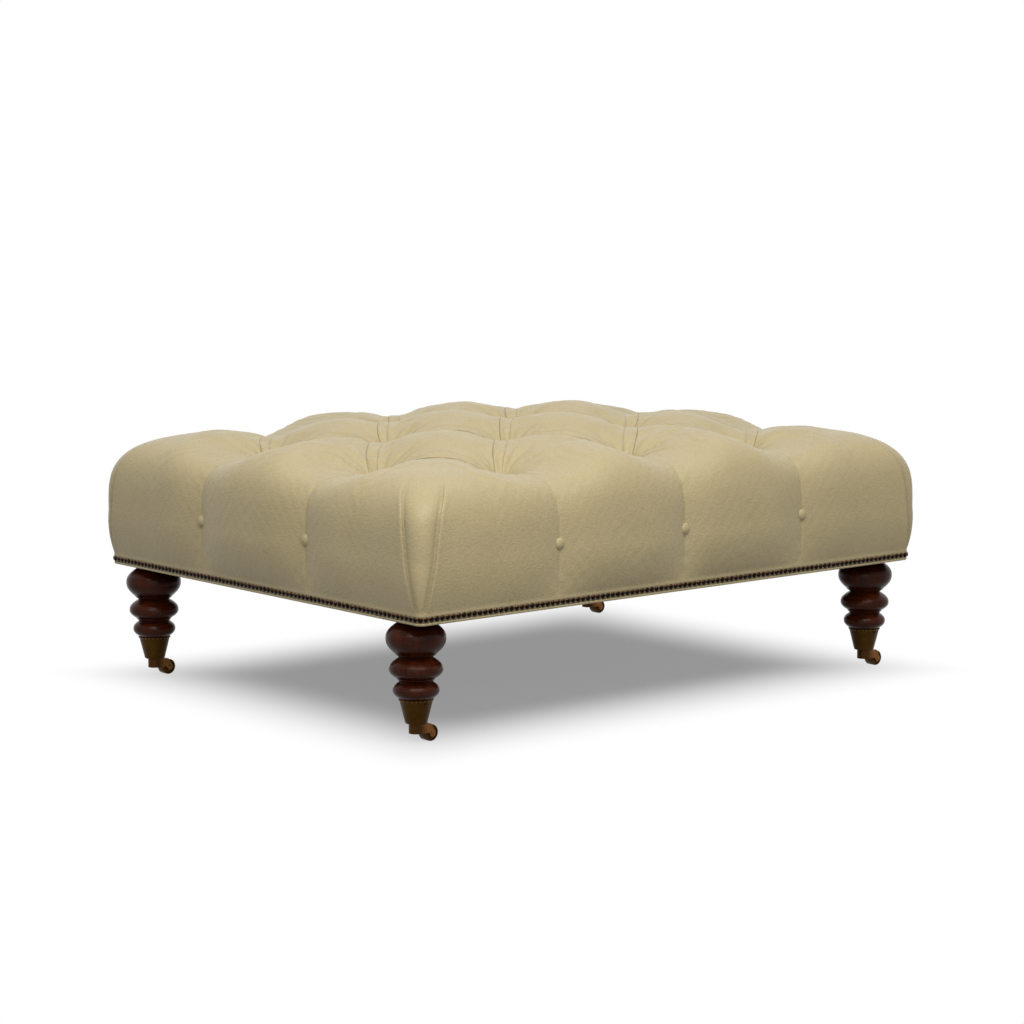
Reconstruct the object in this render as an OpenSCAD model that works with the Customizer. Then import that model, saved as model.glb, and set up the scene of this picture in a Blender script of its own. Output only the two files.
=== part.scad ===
// Tufted leather ottoman coffee table on turned legs with brass cup casters.
// Millimetres. The origin is on the floor under the middle of the table,
// +X runs along its length and +Z is up. The front is the long side at -Y.

/* [Body] */
// Length of the upholstered body at its bottom edge
body_l = 1160; // [1040:10:1320]
// Width of the upholstered body at its bottom edge
body_w = 918; // [840:6:1040]
// Height of the middle of the seat above the frame's underside
seat_h = 289; // [276:1:316]
// How much lower the seat is at the last buttons of a long row
crown_x = 41; // [24:1:50]
// How much lower the seat is at the outer rows of buttons
crown_y = 30; // [16:1:38]
// How much of both falls the corners are spared
crown_corner = 20; // [10:1:30]
// How far the middle of each side stands past the bottom edge
side_bulge = 22; // [12:1:32]
// How far the sides stand past the bottom edge at the corners
corner_bulge = 13; // [6:1:20]
// Height of the widest part of the sides above the frame's underside
widest_h = 98; // [80:1:120]
// Corner radius of the sides at their widest part
corner_r = 36; // [20:1:50]
// Height of the flat nailing band above the hem
band_h = 15; // [12:1:20]
// Corner radius of the nailing band
band_r = 13; // [8:1:20]

/* [Tufting] */
// Distance from the bottom edge's line to the outermost buttons
tuft_inset = 149; // [135:1:165]
// Depth of a button below the seat around it
tuft_depth = 81; // [68:1:88]
// Depth of the pleat midway between two buttons
pleat_depth = 12; // [6:1:20]
// Reach of the hollow that a button pulls into the seat
hollow_reach = 30; // [24:1:38]
// Further sag of the outer pleats on their way over the shoulder
shoulder_sag = 16; // [8:1:22]
// How far the side pleats stand past the bottom edge
side_pleat = 4; // [2:0.5:6]
// Diameter of the covered buttons
button_d = 20; // [16:1:24]
// Thickness of the covered buttons
button_t = 6; // [4:0.5:8]
// Height of the side buttons above the frame's underside
side_button_h = 107; // [98:1:110]
// Diameter of the button twine
twine_d = 2; // [1:0.5:2.5]
// Diameter of the twine holes
twine_hole_d = 3; // [3:0.5:5]
// Diameter of the tufting washers
tuft_washer_d = 20; // [14:1:26]
// Thickness of the tufting washers
tuft_washer_t = 3; // [2:0.5:4]

/* [Frame] */
// Height of the rails
rail_h = 120; // [116:1:130]
// Thickness of the rails
rail_t = 22; // [18:1:28]
// Padding between the rails and the face of the nailing band
side_pad = 10; // [8:1:16]
// Height of the cross rails
cross_h = 80; // [60:1:100]
// Thickness of the plywood deck
deck_t = 12; // [9:1:15]
// Padding left between the foam core and the lowest buttons
under_button = 11; // [8:1:14]
// Size of a corner block along the length
block_l = 80; // [70:1:100]
// Size of a corner block along the width
block_w = 100; // [90:1:120]
// Height of a corner block
block_h = 60; // [50:1:80]
// Screw shank diameter in the frame
screw_d = 4.5; // [3.5:0.5:5.5]
// Length of the screws that join rails
frame_screw_l = 60; // [45:1:70]
// Length of the deck screws
deck_screw_l = 38; // [28:1:45]
// Length of the screws through the corner blocks
block_screw_l = 50; // [40:1:55]

/* [Trim] */
// Diameter of the welt along the bottom edge
welt_d = 5.6; // [4:0.2:7]
// Diameter of the nail heads
nail_d = 9.4; // [8:0.1:10]
// Height of the domed nail heads
nail_t = 2.6; // [2:0.1:3.5]
// Distance between nail heads
nail_pitch = 11.2; // [10.6:0.2:16]
// Thickness of the dust cover
dust_t = 1; // [0.6:0.1:1.5]
// Bare margin of the rails outside the dust cover
dust_margin = 8; // [5:1:12]

/* [Legs] */
// Distance from the body's end to the leg's middle
leg_inset_x = 46; // [40:1:56]
// Distance from the body's long side to the leg's middle
leg_inset_y = 69; // [60:1:76]
// Diameter of the bun at the top of the leg
bun_d = 100; // [90:1:110]
// Height of the bun under its widest line
bun_low_h = 26; // [20:0.5:32]
// Height of the bun over its widest line
bun_high_h = 26; // [20:0.5:32]
// Diameter of the middle bead
mid_bead_d = 89.5; // [78:0.5:96]
// Height of the middle bead under its widest line
mid_low_h = 15; // [12:0.5:20]
// Height of the middle bead over its widest line
mid_high_h = 19.5; // [14:0.5:24]
// Diameter of the lower bead
low_bead_d = 77; // [68:0.5:82]
// Height of each half of the lower bead
low_half_h = 14; // [11:0.5:18]
// Diameter of the necks between the beads
neck_d = 56; // [48:1:58]
// Height of the collar between the bun and the frame
collar_h = 7.5; // [5:0.5:12]
// Diameter of the collar
collar_d = 61; // [56:1:66]
// Height of the small swell under each of the upper beads
swell_h = 6; // [4:0.5:8]
// Diameter of the swell under the middle bead
mid_swell_d = 64.5; // [60:0.5:68]
// Diameter of the swell under the bun
bun_swell_d = 68.5; // [62:0.5:72]
// Diameter of the hanger bolts
bolt_d = 8; // [6:1:10]
// Length of a hanger bolt inside the leg
bolt_in_leg = 48; // [40:1:60]

/* [Casters] */
// Height of the cup's underside above the floor
cup_z = 32; // [32:1:38]
// Height of the cup
cup_h = 42; // [36:1:50]
// Diameter of the cup at its rim
cup_top_d = 57; // [55:0.5:59]
// Diameter of the cup at its underside
cup_bottom_d = 36; // [34:1:40]
// Wall of the cup
cup_wall = 1.8; // [1.2:0.1:2.5]
// Floor of the cup
cup_floor = 3; // [2.5:0.5:4]
// Diameter of the screws that hold a cup to its leg
cup_screw_d = 3; // [2.5:0.5:4]
// Diameter of the swivel pintle
pintle_d = 8; // [6:1:9]
// Diameter of the horn's hub
hub_d = 25; // [23:0.5:27]
// Thickness of the thrust washer
thrust_t = 0.9; // [0.6:0.1:1.2]
// Diameter of the wheel
wheel_d = 28; // [25:1:29]
// Width of the wheel
wheel_w = 18.6; // [15:0.2:19]
// How far the axle trails behind the swivel
trail = 25; // [23:0.5:27]
// Diameter of the axle pin
axle_d = 5; // [4:0.5:6]

/* [Clearances] */
// Radial clearance of a running fit
run_gap = 0.05; // [0.03:0.01:0.08]
// Gap between pieces that only rest beside each other
seat_gap = 0.05; // [0.02:0.01:0.1]
// Gap between moving faces
move_gap = 0.35; // [0.3:0.05:0.5]

/* [Hidden] */
LEGS = [["front_left", -1, -1], ["front_right", 1, -1], ["back_left", -1, 1], ["back_right", 1, 1]];

// Smoothness of round pieces
fn_big = 64;
fn_small = 24;

// Heights of the leg's turned elements, stacked from the floor up
cup_top = cup_z + cup_h;
low_bead_z = cup_top + low_half_h;
mid_swell_z = low_bead_z + low_half_h;
mid_bead_z = mid_swell_z + swell_h + mid_low_h;
bun_swell_z = mid_bead_z + mid_high_h;
bun_z = bun_swell_z + swell_h + bun_low_h;
collar_z = bun_z + bun_high_h;
frame_z = collar_z + collar_h;

// Frame
rail_x = body_l / 2 - side_pad;
rail_y = body_w / 2 - side_pad;
rail_top = frame_z + rail_h;
deck_top = rail_top + deck_t;
leg_x = body_l / 2 - leg_inset_x;
leg_y = body_w / 2 - leg_inset_y;

// Tufting lattice: buttons stand where the column and row numbers add up to an even number
cols = 3;
rows = 2;
col_step = (body_l / 2 - tuft_inset) / cols;
row_step = (body_w / 2 - tuft_inset) / rows;
last_x = cols * col_step;
last_y = rows * row_step;
BUTTONS = [for (c = [-cols:cols]) for (r = [-rows:rows]) if ((c + r) % 2 == 0) [c * col_step, r * row_step]];
FRONT_PLEATS = [for (c = [-cols:cols]) if ((c + rows) % 2 == 0) c * col_step];
END_PLEATS = [for (r = [-rows:rows]) if ((r + cols) % 2 == 0) r * row_step];

// Upholstery heights
foam_top = min([for (b = BUTTONS) button_z(b)]) - under_button;
foam_t = foam_top - deck_top - seat_gap;
foam_x = rail_x - seat_gap;
foam_y = rail_y - seat_gap;
hem_z = frame_z + welt_d / 2 + seat_gap;
band_top = hem_z + band_h;
widest_z = frame_z + widest_h;
side_button_z = frame_z + side_button_h;
side_button_x = body_l / 2 + side_pleat;
side_button_y = body_w / 2 + side_pleat;
nail_z = hem_z + nail_d / 2 + seat_gap;

// ---- Tufted surface -------------------------------------------------------

// Cells of the surface grid in one step of the lattice
cells = 5;
// Stations from the last buttons out to the widest part: the first ones belong to the top grid
shoulder = [0.34, 0.6, 0.8, 0.92, 0.975, 0.995, 1];
grid_stations = 4;
// How square the shoulder is: 2 is an ellipse
shoulder_power = 3.6;
// Rings under the widest part, as shares of the way down to the band
underside = [0.35, 0.7];

function clamp(v, top) = max(-top, min(top, v));
function crown(x, y) =
    let (kx = clamp(x, last_x) / last_x, ky = clamp(y, last_y) / last_y)
    frame_z + seat_h - crown_x * kx * kx - crown_y * ky * ky + crown_corner * kx * kx * ky * ky;

function button_z(b) = crown(b[0], b[1]) - tuft_depth;

// 0 on a pleat and 1 in the middle of a diamond
function off_pleat(x, y) =
    let (a = (x / col_step + y / row_step) / 2, b = (x / col_step - y / row_step) / 2)
    2 * min(abs(a - round(a)), abs(b - round(b)));

// Section across the pleats, 1 in a pleat and 0 on a hill. The top has round hills, the sides narrow grooves
function groove(x, y, share) =
    pow(1 - pow(off_pleat(x, y), 2 - pow(share, 3)), 1.5 + 1.7 * share * share);

// Hollow that the buttons pull in: each button's pull is 1 at the button, and the product adds them up
function hollow(x, y) =
    let (pulls = [for (b = BUTTONS) exp(-norm([x - b[0], y - b[1]]) / hollow_reach)])
    (tuft_depth - pleat_depth) * min(1, pulls * [for (b = BUTTONS) 1]);

// Bulge of a side, fading towards its ends
function bulge(share) = side_bulge + (corner_bulge - side_bulge) * pow(share, 2);

// Plan point of a ring: base point plus a square offset whose corner is rounded by r
function round_corner(u, v, ax, ay, r) =
    let (dx = u * ax - (ax - r), dy = v * ay - (ay - r))
    (dx > 0 && dy > 0)
        ? let (d = max(norm([dx, dy]), 0.001)) [ax - r + r * dx / d, ay - r + r * dy / d]
        : [u * ax, v * ay];

// Signed grid lines: lattice lines, then shoulder stations
function line_base(i, count, step) = clamp(i, count) * step / cells;
function line_out(i, count) = abs(i) <= count ? 0 : shoulder[abs(i) - count - 1];

nx = cols * cells;
ny = rows * cells;
gx = nx + grid_stations;
gy = ny + grid_stations;

function blend_r(share) = let (w = share * share) (1 - w) * tuft_inset * share + w * corner_r;

// Depth of a pleat on its way out. It sags over the shoulder and ends near the bottom edge's line
sag_peak = 2.6;
function pleat_sink(share, side_bulge) = pleat_depth + (side_bulge - side_pleat - pleat_depth) * share * share
    + shoulder_sag * sag_peak * share * (1 - share * share);

// Pleats sink along the shoulder's normal: how far in, and how far down
function sink_at(bx, by, share, fall, side_bulge) =
    let (depth = pleat_sink(share, side_bulge) * groove(bx, by, share))
    let (out = pow(share, shoulder_power - 1) / tuft_inset)
    let (up = pow(fall, shoulder_power - 1) / (crown(bx, by) - widest_z))
    depth / norm([out, up]) * [out, up];

// Point of the surface for a base point: its square (u, v), share of the way out, kept bulge, corner radius,
// and its height as a level and a share of the rise from the widest line to the crown
function skin_point(bx, by, sx, sy, u, v, share, keep, r, low, fall) =
    let (bulge_x = bulge(abs(by) / last_y), bulge_y = bulge(abs(bx) / last_x))
    let (sink = keep * sink_at(bx, by, share, fall, v > u ? bulge_y : bulge_x))
    let (ax = (tuft_inset + bulge_x * keep) * share - (u > v ? sink[0] : 0))
    let (ay = (tuft_inset + bulge_y * keep) * share - (v > u ? sink[0] : 0))
    let (o = round_corner(u, v, ax, ay, min(ax, ay, r)))
    [bx + sx * o[0], by + sy * o[1], low + (crown(bx, by) - widest_z) * fall - sink[1]];

function shoulder_fall(share) = pow(max(0, 1 - pow(share, shoulder_power)), 1 / shoulder_power);

function top_point(i, j) =
    let (bx = line_base(i, nx, col_step), by = line_base(j, ny, row_step))
    let (u = line_out(i, nx), v = line_out(j, ny), share = max(u, v))
    share == 0 ? [bx, by, crown(bx, by) - pleat_depth * groove(bx, by, 0) - hollow(bx, by)]
    : let (r = blend_r(share), fall = shoulder_fall(share))
      let (p = skin_point(bx, by, sign(i), sign(j), u / share, v / share, share, 1, r, widest_z, fall))
      [p[0], p[1], p[2] - hollow(p[0], p[1]) * (1 - pow(share, 3))];

// Perimeter of the top grid, counter-clockwise from its left front corner
EDGE = concat([for (i = [-gx:gx - 1]) [i, -gy]], [for (j = [-gy:gy - 1]) [gx, j]],
    [for (i = [gx:-1:1 - gx]) [i, gy]], [for (j = [gy:-1:1 - gy]) [-gx, j]]);
edge_share = shoulder[grid_stations - 1];

function side_point(e, share, keep, r, low, fall) =
    let (bx = line_base(e[0], nx, col_step), by = line_base(e[1], ny, row_step))
    let (u = line_out(e[0], nx) / edge_share, v = line_out(e[1], ny) / edge_share)
    skin_point(bx, by, sign(e[0]), sign(e[1]), u, v, share, keep, r, low, fall);

// Rings below the grid's edge, top to bottom: [share, kept bulge, corner radius, level, share of the rise]
RINGS = concat(
    [for (k = [grid_stations:len(shoulder) - 1])
        let (s = shoulder[k]) [s, 1, blend_r(s), widest_z, shoulder_fall(s)]],
    [for (w = underside)
        [1, 1 - w * w, corner_r + (band_r - corner_r) * w, widest_z + (band_top - widest_z) * w, 0]],
    [[1, 0, band_r, band_top, 0], [1, 0, band_r, hem_z, 0]]);

module tufted_solid() {
    rows_n = 2 * gy + 1;
    edge_n = len(EDGE);
    top_n = (2 * gx + 1) * rows_n;
    top_pts = [for (i = [-gx:gx]) for (j = [-gy:gy]) top_point(i, j)];
    side_pts = [for (r = RINGS) for (e = EDGE) side_point(e, r[0], r[1], r[2], r[3], r[4])];
    function at(i, j) = (i + gx) * rows_n + j + gy;
    function ring(k, e) = k == 0 ? at(EDGE[e % edge_n][0], EDGE[e % edge_n][1])
        : top_n + (k - 1) * edge_n + e % edge_n;
    // A pleat runs along the diagonal of a lattice step that starts on a button
    function rising(i, j) =
        let (c = floor(clamp(i + 0.5, nx - 0.5) / cells), r = floor(clamp(j + 0.5, ny - 0.5) / cells))
        (c + r) % 2 == 0;
    top_faces = [for (i = [-gx:gx - 1]) for (j = [-gy:gy - 1])
        let (a = at(i, j), b = at(i + 1, j), c = at(i + 1, j + 1), d = at(i, j + 1))
        each rising(i, j) ? [[a, c, b], [a, d, c]] : [[a, d, b], [b, d, c]]];
    side_faces = [for (k = [0:len(RINGS) - 1]) for (e = [0:edge_n - 1])
        let (a = ring(k, e), b = ring(k, e + 1), c = ring(k + 1, e + 1), d = ring(k + 1, e))
        each [[a, b, c], [a, c, d]]];
    hem_face = [[for (e = [0:edge_n - 1]) ring(len(RINGS), e)]];
    polyhedron(concat(top_pts, side_pts), concat(top_faces, side_faces, hem_face), convexity = 8);
}

// ---- Upholstery -----------------------------------------------------------

// Places its child at each top button, at the bottom of the tuft
module at_top_buttons() {
    for (b = BUTTONS) translate([b[0], b[1], button_z(b)]) children();
}

// Places its child at each side button, with +Z pointing out of the side
module at_side_buttons() {
    for (x = FRONT_PLEATS) for (s = [-1, 1])
        translate([x, s * side_button_y, side_button_z]) rotate([-s * 90, 0, 0]) children();
    for (y = END_PLEATS) for (s = [-1, 1])
        translate([s * side_button_x, y, side_button_z]) rotate([0, s * 90, 0]) children();
}

module button_seat(depth) {
    cylinder(d = button_d + 4 * seat_gap, h = 3 * button_t, $fn = fn_small);
    translate([0, 0, -depth]) cylinder(d = twine_hole_d, h = depth + 1, $fn = fn_small);
}

module leather_cover() {
    color("#c8bb98") difference() {
        tufted_solid();
        translate([-rail_x, -rail_y, hem_z - 1]) cube([2 * rail_x, 2 * rail_y, foam_top - hem_z + 1]);
        at_top_buttons() button_seat(seat_h);
        at_side_buttons() button_seat(side_pad + side_bulge + rail_t);
    }
}

module twine_holes(d) {
    for (b = BUTTONS)
        translate([b[0], b[1], rail_top - 1]) cylinder(d = d, h = deck_t + foam_t + 2, $fn = fn_small);
}

module foam_core() {
    color("#e8d9a0") difference() {
        translate([-foam_x, -foam_y, deck_top]) cube([2 * foam_x, 2 * foam_y, foam_t]);
        twine_holes(twine_hole_d);
    }
}

module covered_button() {
    edge = button_t * 0.4;
    rise = button_t - edge;
    dome_r = (pow(button_d / 2, 2) + rise * rise) / (2 * rise);
    intersection() {
        cylinder(d = button_d, h = button_t, $fn = fn_small);
        translate([0, 0, button_t - dome_r]) sphere(r = dome_r, $fn = fn_big);
    }
}

module top_buttons() {
    color("#c8bb98") at_top_buttons() covered_button();
}

module side_buttons() {
    color("#c8bb98") at_side_buttons() covered_button();
}

// A run of twine from a button's back to the knot behind its washer
module twine_run(length) {
    knot_d = twine_hole_d + 2;
    translate([0, 0, -length - tuft_washer_t]) cylinder(d = twine_d, h = length + tuft_washer_t, $fn = fn_small);
    translate([0, 0, -length - tuft_washer_t - 3]) cylinder(d = knot_d, h = 3, $fn = fn_small);
}

// Calls its child at each button with $run set to the distance to the inside of the frame
module each_run() {
    for (b = BUTTONS) translate([b[0], b[1], button_z(b)]) {
        $run = button_z(b) - rail_top;
        children();
    }
    $run = side_pad + side_pleat + rail_t;
    at_side_buttons() children();
}

module button_twine() {
    color("#d8d2c0") each_run() twine_run($run);
}

module tufting_washers() {
    color("#3a3a3a") each_run() translate([0, 0, -$run - tuft_washer_t]) difference() {
        cylinder(d = tuft_washer_d, h = tuft_washer_t, $fn = fn_small);
        translate([0, 0, -1]) cylinder(d = twine_hole_d, h = tuft_washer_t + 2, $fn = fn_small);
    }
}

// The welt lies under the hem, flush with the band's face
module welt() {
    r = welt_d / 2;
    x = body_l / 2 - band_r;
    y = body_w / 2 - band_r;
    color("#c8bb98") translate([0, 0, frame_z - seat_gap]) {
        for (s = [-1, 1]) {
            translate([-x, s * (y + band_r - r), 0]) rotate([0, 90, 0]) cylinder(r = r, h = 2 * x, $fn = fn_small);
            translate([s * (x + band_r - r), y, 0]) rotate([90, 0, 0]) cylinder(r = r, h = 2 * y, $fn = fn_small);
        }
        for (a = [0:3]) {
            sx = (a == 0 || a == 3) ? 1 : -1;
            sy = a < 2 ? 1 : -1;
            translate([sx * x, sy * y, 0]) rotate([0, 0, 90 * a])
                rotate_extrude(angle = 90, $fn = fn_big) translate([band_r - r, 0]) circle(r = r, $fn = fn_small);
        }
    }
}

// ---- Nails ----------------------------------------------------------------

module nail_head() {
    dome_r = (pow(nail_d / 2, 2) + nail_t * nail_t) / (2 * nail_t);
    intersection() {
        cylinder(d = nail_d, h = nail_t, $fn = fn_small);
        translate([0, 0, nail_t - dome_r]) sphere(r = dome_r, $fn = fn_big);
    }
}

// A row of nails along +X with heads facing -Y, centred on the origin, and one more on the corner at its end
module nail_row(length) {
    flat = length - 2 * band_r;
    count = floor(flat / nail_pitch);
    for (k = [0:count])
        translate([(k / count - 0.5) * flat, -seat_gap, nail_z]) rotate([90, 0, 0]) nail_head();
    translate([flat / 2, band_r, nail_z]) rotate([90, 0, 45]) translate([0, 0, band_r + seat_gap]) nail_head();
}

module nails_front() {
    color("#4a3420") translate([0, -body_w / 2, 0]) nail_row(body_l);
}

module nails_back() {
    color("#4a3420") rotate([0, 0, 180]) translate([0, -body_w / 2, 0]) nail_row(body_l);
}

module nails_left() {
    color("#4a3420") rotate([0, 0, -90]) translate([0, -body_l / 2, 0]) nail_row(body_w);
}

module nails_right() {
    color("#4a3420") rotate([0, 0, 90]) translate([0, -body_l / 2, 0]) nail_row(body_w);
}

// ---- Frame ----------------------------------------------------------------

screw_head_d = 2 * screw_d;
screw_head_t = screw_d / 2;

// Countersunk screw with its head's face at the origin and its shank along -Z
module screw(length, gap = 0) {
    translate([0, 0, -length]) cylinder(d = screw_d + 2 * gap, h = length, $fn = fn_small);
    translate([0, 0, -screw_head_t])
        cylinder(d1 = screw_d + 2 * gap, d2 = screw_head_d + 2 * gap, h = screw_head_t, $fn = fn_small);
}

cross_x = col_step * 1.5;
deck_screw_xs = [-5 * col_step / 2, -col_step / 2, col_step / 2, 5 * col_step / 2];
deck_screw_ys = [-3 * row_step / 2, -row_step / 2, row_step / 2, 3 * row_step / 2];

module at_deck_screws() {
    for (x = deck_screw_xs) for (s = [-1, 1]) translate([x, s * (rail_y - rail_t / 2), deck_top]) children();
    for (y = deck_screw_ys) for (s = [-1, 1]) translate([s * (rail_x - rail_t / 2), y, deck_top]) children();
    for (y = [-row_step / 2, row_step / 2]) for (s = [-1, 1]) translate([s * cross_x, y, deck_top]) children();
}

// Screws through the long rails into the ends of the short rails and the cross rails
module at_frame_screws() {
    for (s = [-1, 1]) {
        for (x = [-1, 1]) for (h = [0.3, 0.7])
            translate([x * (rail_x - rail_t / 2), s * rail_y, frame_z + rail_h * h])
                rotate([-s * 90, 0, 0]) children();
        for (x = [-1, 1]) for (h = [0.3, 0.7])
            translate([x * cross_x, s * rail_y, rail_top - cross_h * h]) rotate([-s * 90, 0, 0]) children();
    }
}

// Screws through each corner block into the long rail
module at_block_screws() {
    for (l = LEGS) for (x = [block_l * 0.4, block_l * 0.8])
        translate([l[1] * (rail_x - rail_t - x), l[2] * (rail_y - rail_t - block_screw_l + rail_t * 0.8),
                   frame_z + block_h / 2]) rotate([l[2] * 90, 0, 0]) children();
}

module seat_deck() {
    color("#c9a673") difference() {
        translate([-rail_x, -rail_y, rail_top]) cube([2 * rail_x, 2 * rail_y, deck_t]);
        twine_holes(twine_hole_d);
        at_deck_screws() screw(deck_screw_l, seat_gap);
    }
}

module long_rail(side) {
    color("#b98d58") difference() {
        translate([-rail_x, side > 0 ? rail_y - rail_t : -rail_y, frame_z]) cube([2 * rail_x, rail_t, rail_h]);
        at_deck_screws() screw(deck_screw_l, seat_gap);
        at_frame_screws() screw(frame_screw_l, seat_gap);
        at_block_screws() screw(block_screw_l, seat_gap);
        each_run() translate([0, 0, -$run - 1]) cylinder(d = twine_hole_d, h = rail_t + 2, $fn = fn_small);
    }
}

module short_rail(side) {
    y = rail_y - rail_t;
    color("#b98d58") difference() {
        translate([side > 0 ? rail_x - rail_t : -rail_x, -y, frame_z]) cube([rail_t, 2 * y, rail_h]);
        at_deck_screws() screw(deck_screw_l, seat_gap);
        at_frame_screws() screw(frame_screw_l, seat_gap);
        each_run() translate([0, 0, -$run - 1]) cylinder(d = twine_hole_d, h = rail_t + 2, $fn = fn_small);
    }
}

module cross_rail(side) {
    y = rail_y - rail_t;
    color("#b98d58") difference() {
        translate([side * cross_x - rail_t / 2, -y, rail_top - cross_h]) cube([rail_t, 2 * y, cross_h]);
        at_deck_screws() screw(deck_screw_l, seat_gap);
        at_frame_screws() screw(frame_screw_l, seat_gap);
    }
}

module corner_block(l) {
    chamfer = 30;
    color("#a87f4e") difference() {
        translate([l[1] * (rail_x - rail_t), l[2] * (rail_y - rail_t), frame_z])
            linear_extrude(block_h) polygon([[0, 0], [-l[1] * block_l, 0],
                [-l[1] * block_l, -l[2] * (block_w - chamfer)],
                [-l[1] * (block_l - chamfer), -l[2] * block_w], [0, -l[2] * block_w]]);
        translate([l[1] * leg_x, l[2] * leg_y, frame_z - 1])
            cylinder(d = bolt_d + 2 * seat_gap, h = block_h + 2, $fn = fn_small);
        translate([l[1] * leg_x, l[2] * leg_y, frame_z + block_h - tee_barrel_h])
            cylinder(d = tee_barrel_d + 2 * seat_gap, h = tee_barrel_h + 1, $fn = fn_small);
        at_block_screws() {
            screw(block_screw_l, seat_gap);
            cylinder(d = screw_head_d + 2 * seat_gap, h = block_w, $fn = fn_small);
        }
    }
}

tee_barrel_d = bolt_d + 3;
tee_barrel_h = 12;
tee_flange_d = bolt_d + 14;
tee_flange_t = 1.5;

module tee_nuts() {
    color("#8f9296") for (l = LEGS) translate([l[1] * leg_x, l[2] * leg_y, frame_z + block_h]) difference() {
        union() {
            cylinder(d = tee_flange_d, h = tee_flange_t, $fn = fn_small);
            translate([0, 0, -tee_barrel_h]) cylinder(d = tee_barrel_d, h = tee_barrel_h, $fn = fn_small);
        }
        translate([0, 0, -tee_barrel_h - 1])
            cylinder(d = bolt_d + 2 * seat_gap, h = tee_barrel_h + tee_flange_t + 2, $fn = fn_small);
    }
}

module hanger_bolts() {
    color("#8f9296") for (l = LEGS) translate([l[1] * leg_x, l[2] * leg_y, frame_z - bolt_in_leg])
        cylinder(d = bolt_d, h = bolt_in_leg + block_h + tee_flange_t, $fn = fn_small);
}

module deck_screws() {
    color("#8f9296") at_deck_screws() screw(deck_screw_l);
}

module frame_screws() {
    color("#8f9296") at_frame_screws() screw(frame_screw_l);
}

module block_screws() {
    color("#8f9296") at_block_screws() screw(block_screw_l);
}

dust_x = rail_x - dust_margin;
dust_y = rail_y - dust_margin;
module dust_cover() {
    color("#26262a") difference() {
        translate([-dust_x, -dust_y, frame_z - dust_t]) cube([2 * dust_x, 2 * dust_y, dust_t]);
        for (l = LEGS) translate([l[1] * leg_x, l[2] * leg_y, frame_z - dust_t - 1])
            cylinder(d = collar_d + collar_h + 4, h = dust_t + 2, $fn = fn_big);
    }
}

// Staples lie across the dust cover's edge, with their crowns under it
module staple() {
    translate([-5, -0.4, 0]) cube([10, 0.8, 0.6]);
}

module dust_staples() {
    z = frame_z - dust_t - 0.6;
    color("#9a9ca0") {
        for (c = [-4:4]) for (s = [-1, 1]) translate([c * body_l / 12, s * (dust_y - 6), z]) staple();
        for (c = [-2:2]) for (s = [-1, 1])
            translate([s * (dust_x - 6), c * body_w / 8, z]) rotate([0, 0, 90]) staple();
    }
}

// ---- Turned legs ----------------------------------------------------------

half_steps = 10;
swell_steps = 4;
// Shape of a bead's flank: a round rim that runs into a nearly straight slope
rim_power = 2.3;
flank_power = 1.15;

// Outline of half a turned bead, from its neck to its widest line; a negative height points down
function half_bead(z, h, d, neck) = [for (k = [half_steps:-1:0])
    let (s = sin(90 * k / half_steps))
    [neck / 2 + (d - neck) / 2 * pow(1 - pow(s, rim_power), flank_power), z + h * s]];
function reverse(list) = [for (k = [len(list) - 1:-1:0]) list[k]];
function bead(z, low_h, high_h, d, low_d, high_d) =
    concat(half_bead(z, -low_h, d, low_d), reverse(half_bead(z, high_h, d, high_d)));

// Outline of the small swell over a neck, an S-curve up to the bead above it
function swell(z, d) = [for (k = [1:swell_steps - 1])
    let (t = k / swell_steps) [neck_d / 2 + (d - neck_d) / 4 * (1 - cos(180 * t)), z + swell_h * t]];

foot_gap = seat_gap;
foot_top_r = cup_top_d / 2 - cup_wall - foot_gap;
foot_bottom_r = cup_bottom_d / 2 - cup_wall - foot_gap;
foot_z = cup_z + cup_floor + foot_gap;
pintle_head_t = 3;
pocket_d = pintle_d + 8;
pocket_h = pintle_head_t + 3;

module turned_leg(l) {
    outline = concat(
        [[0, foot_z], [foot_bottom_r, foot_z], [foot_top_r, cup_top]],
        bead(low_bead_z, low_half_h, low_half_h, low_bead_d, neck_d, neck_d),
        swell(mid_swell_z, mid_swell_d),
        bead(mid_bead_z, mid_low_h, mid_high_h, mid_bead_d, mid_swell_d, neck_d),
        swell(bun_swell_z, bun_swell_d),
        bead(bun_z, bun_low_h, bun_high_h, bun_d, bun_swell_d, collar_d),
        [[collar_d / 2 + collar_h / 3, frame_z - collar_h / 2], [collar_d / 2 + collar_h / 3, frame_z],
         [0, frame_z]]);
    color("#4a2116") translate([l[1] * leg_x, l[2] * leg_y, 0]) difference() {
        rotate_extrude($fn = fn_big) polygon(outline);
        translate([0, 0, frame_z - bolt_in_leg]) cylinder(d = bolt_d + 2 * seat_gap, h = bolt_in_leg + 1, $fn = fn_small);
        translate([0, 0, foot_z - 1]) cylinder(d = pocket_d, h = pocket_h + 1, $fn = fn_small);
        for (s = [-1, 1]) cup_screw_at(s) cup_screw(seat_gap);
    }
}

// ---- Casters --------------------------------------------------------------

cup_screw_z = cup_top - 7;
cup_screw_l = 14;
cup_slope = atan((cup_top_d - cup_bottom_d) / 2 / cup_h);

// Places a cup screw square to the cup's sloping wall, on the front or back of the leg
module cup_screw_at(side) {
    r = cup_bottom_d / 2 + (cup_top_d - cup_bottom_d) / 2 * (cup_screw_z - cup_z) / cup_h;
    translate([0, side * r, cup_screw_z]) rotate([-side * (90 + cup_slope), 0, 0]) children();
}

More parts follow.
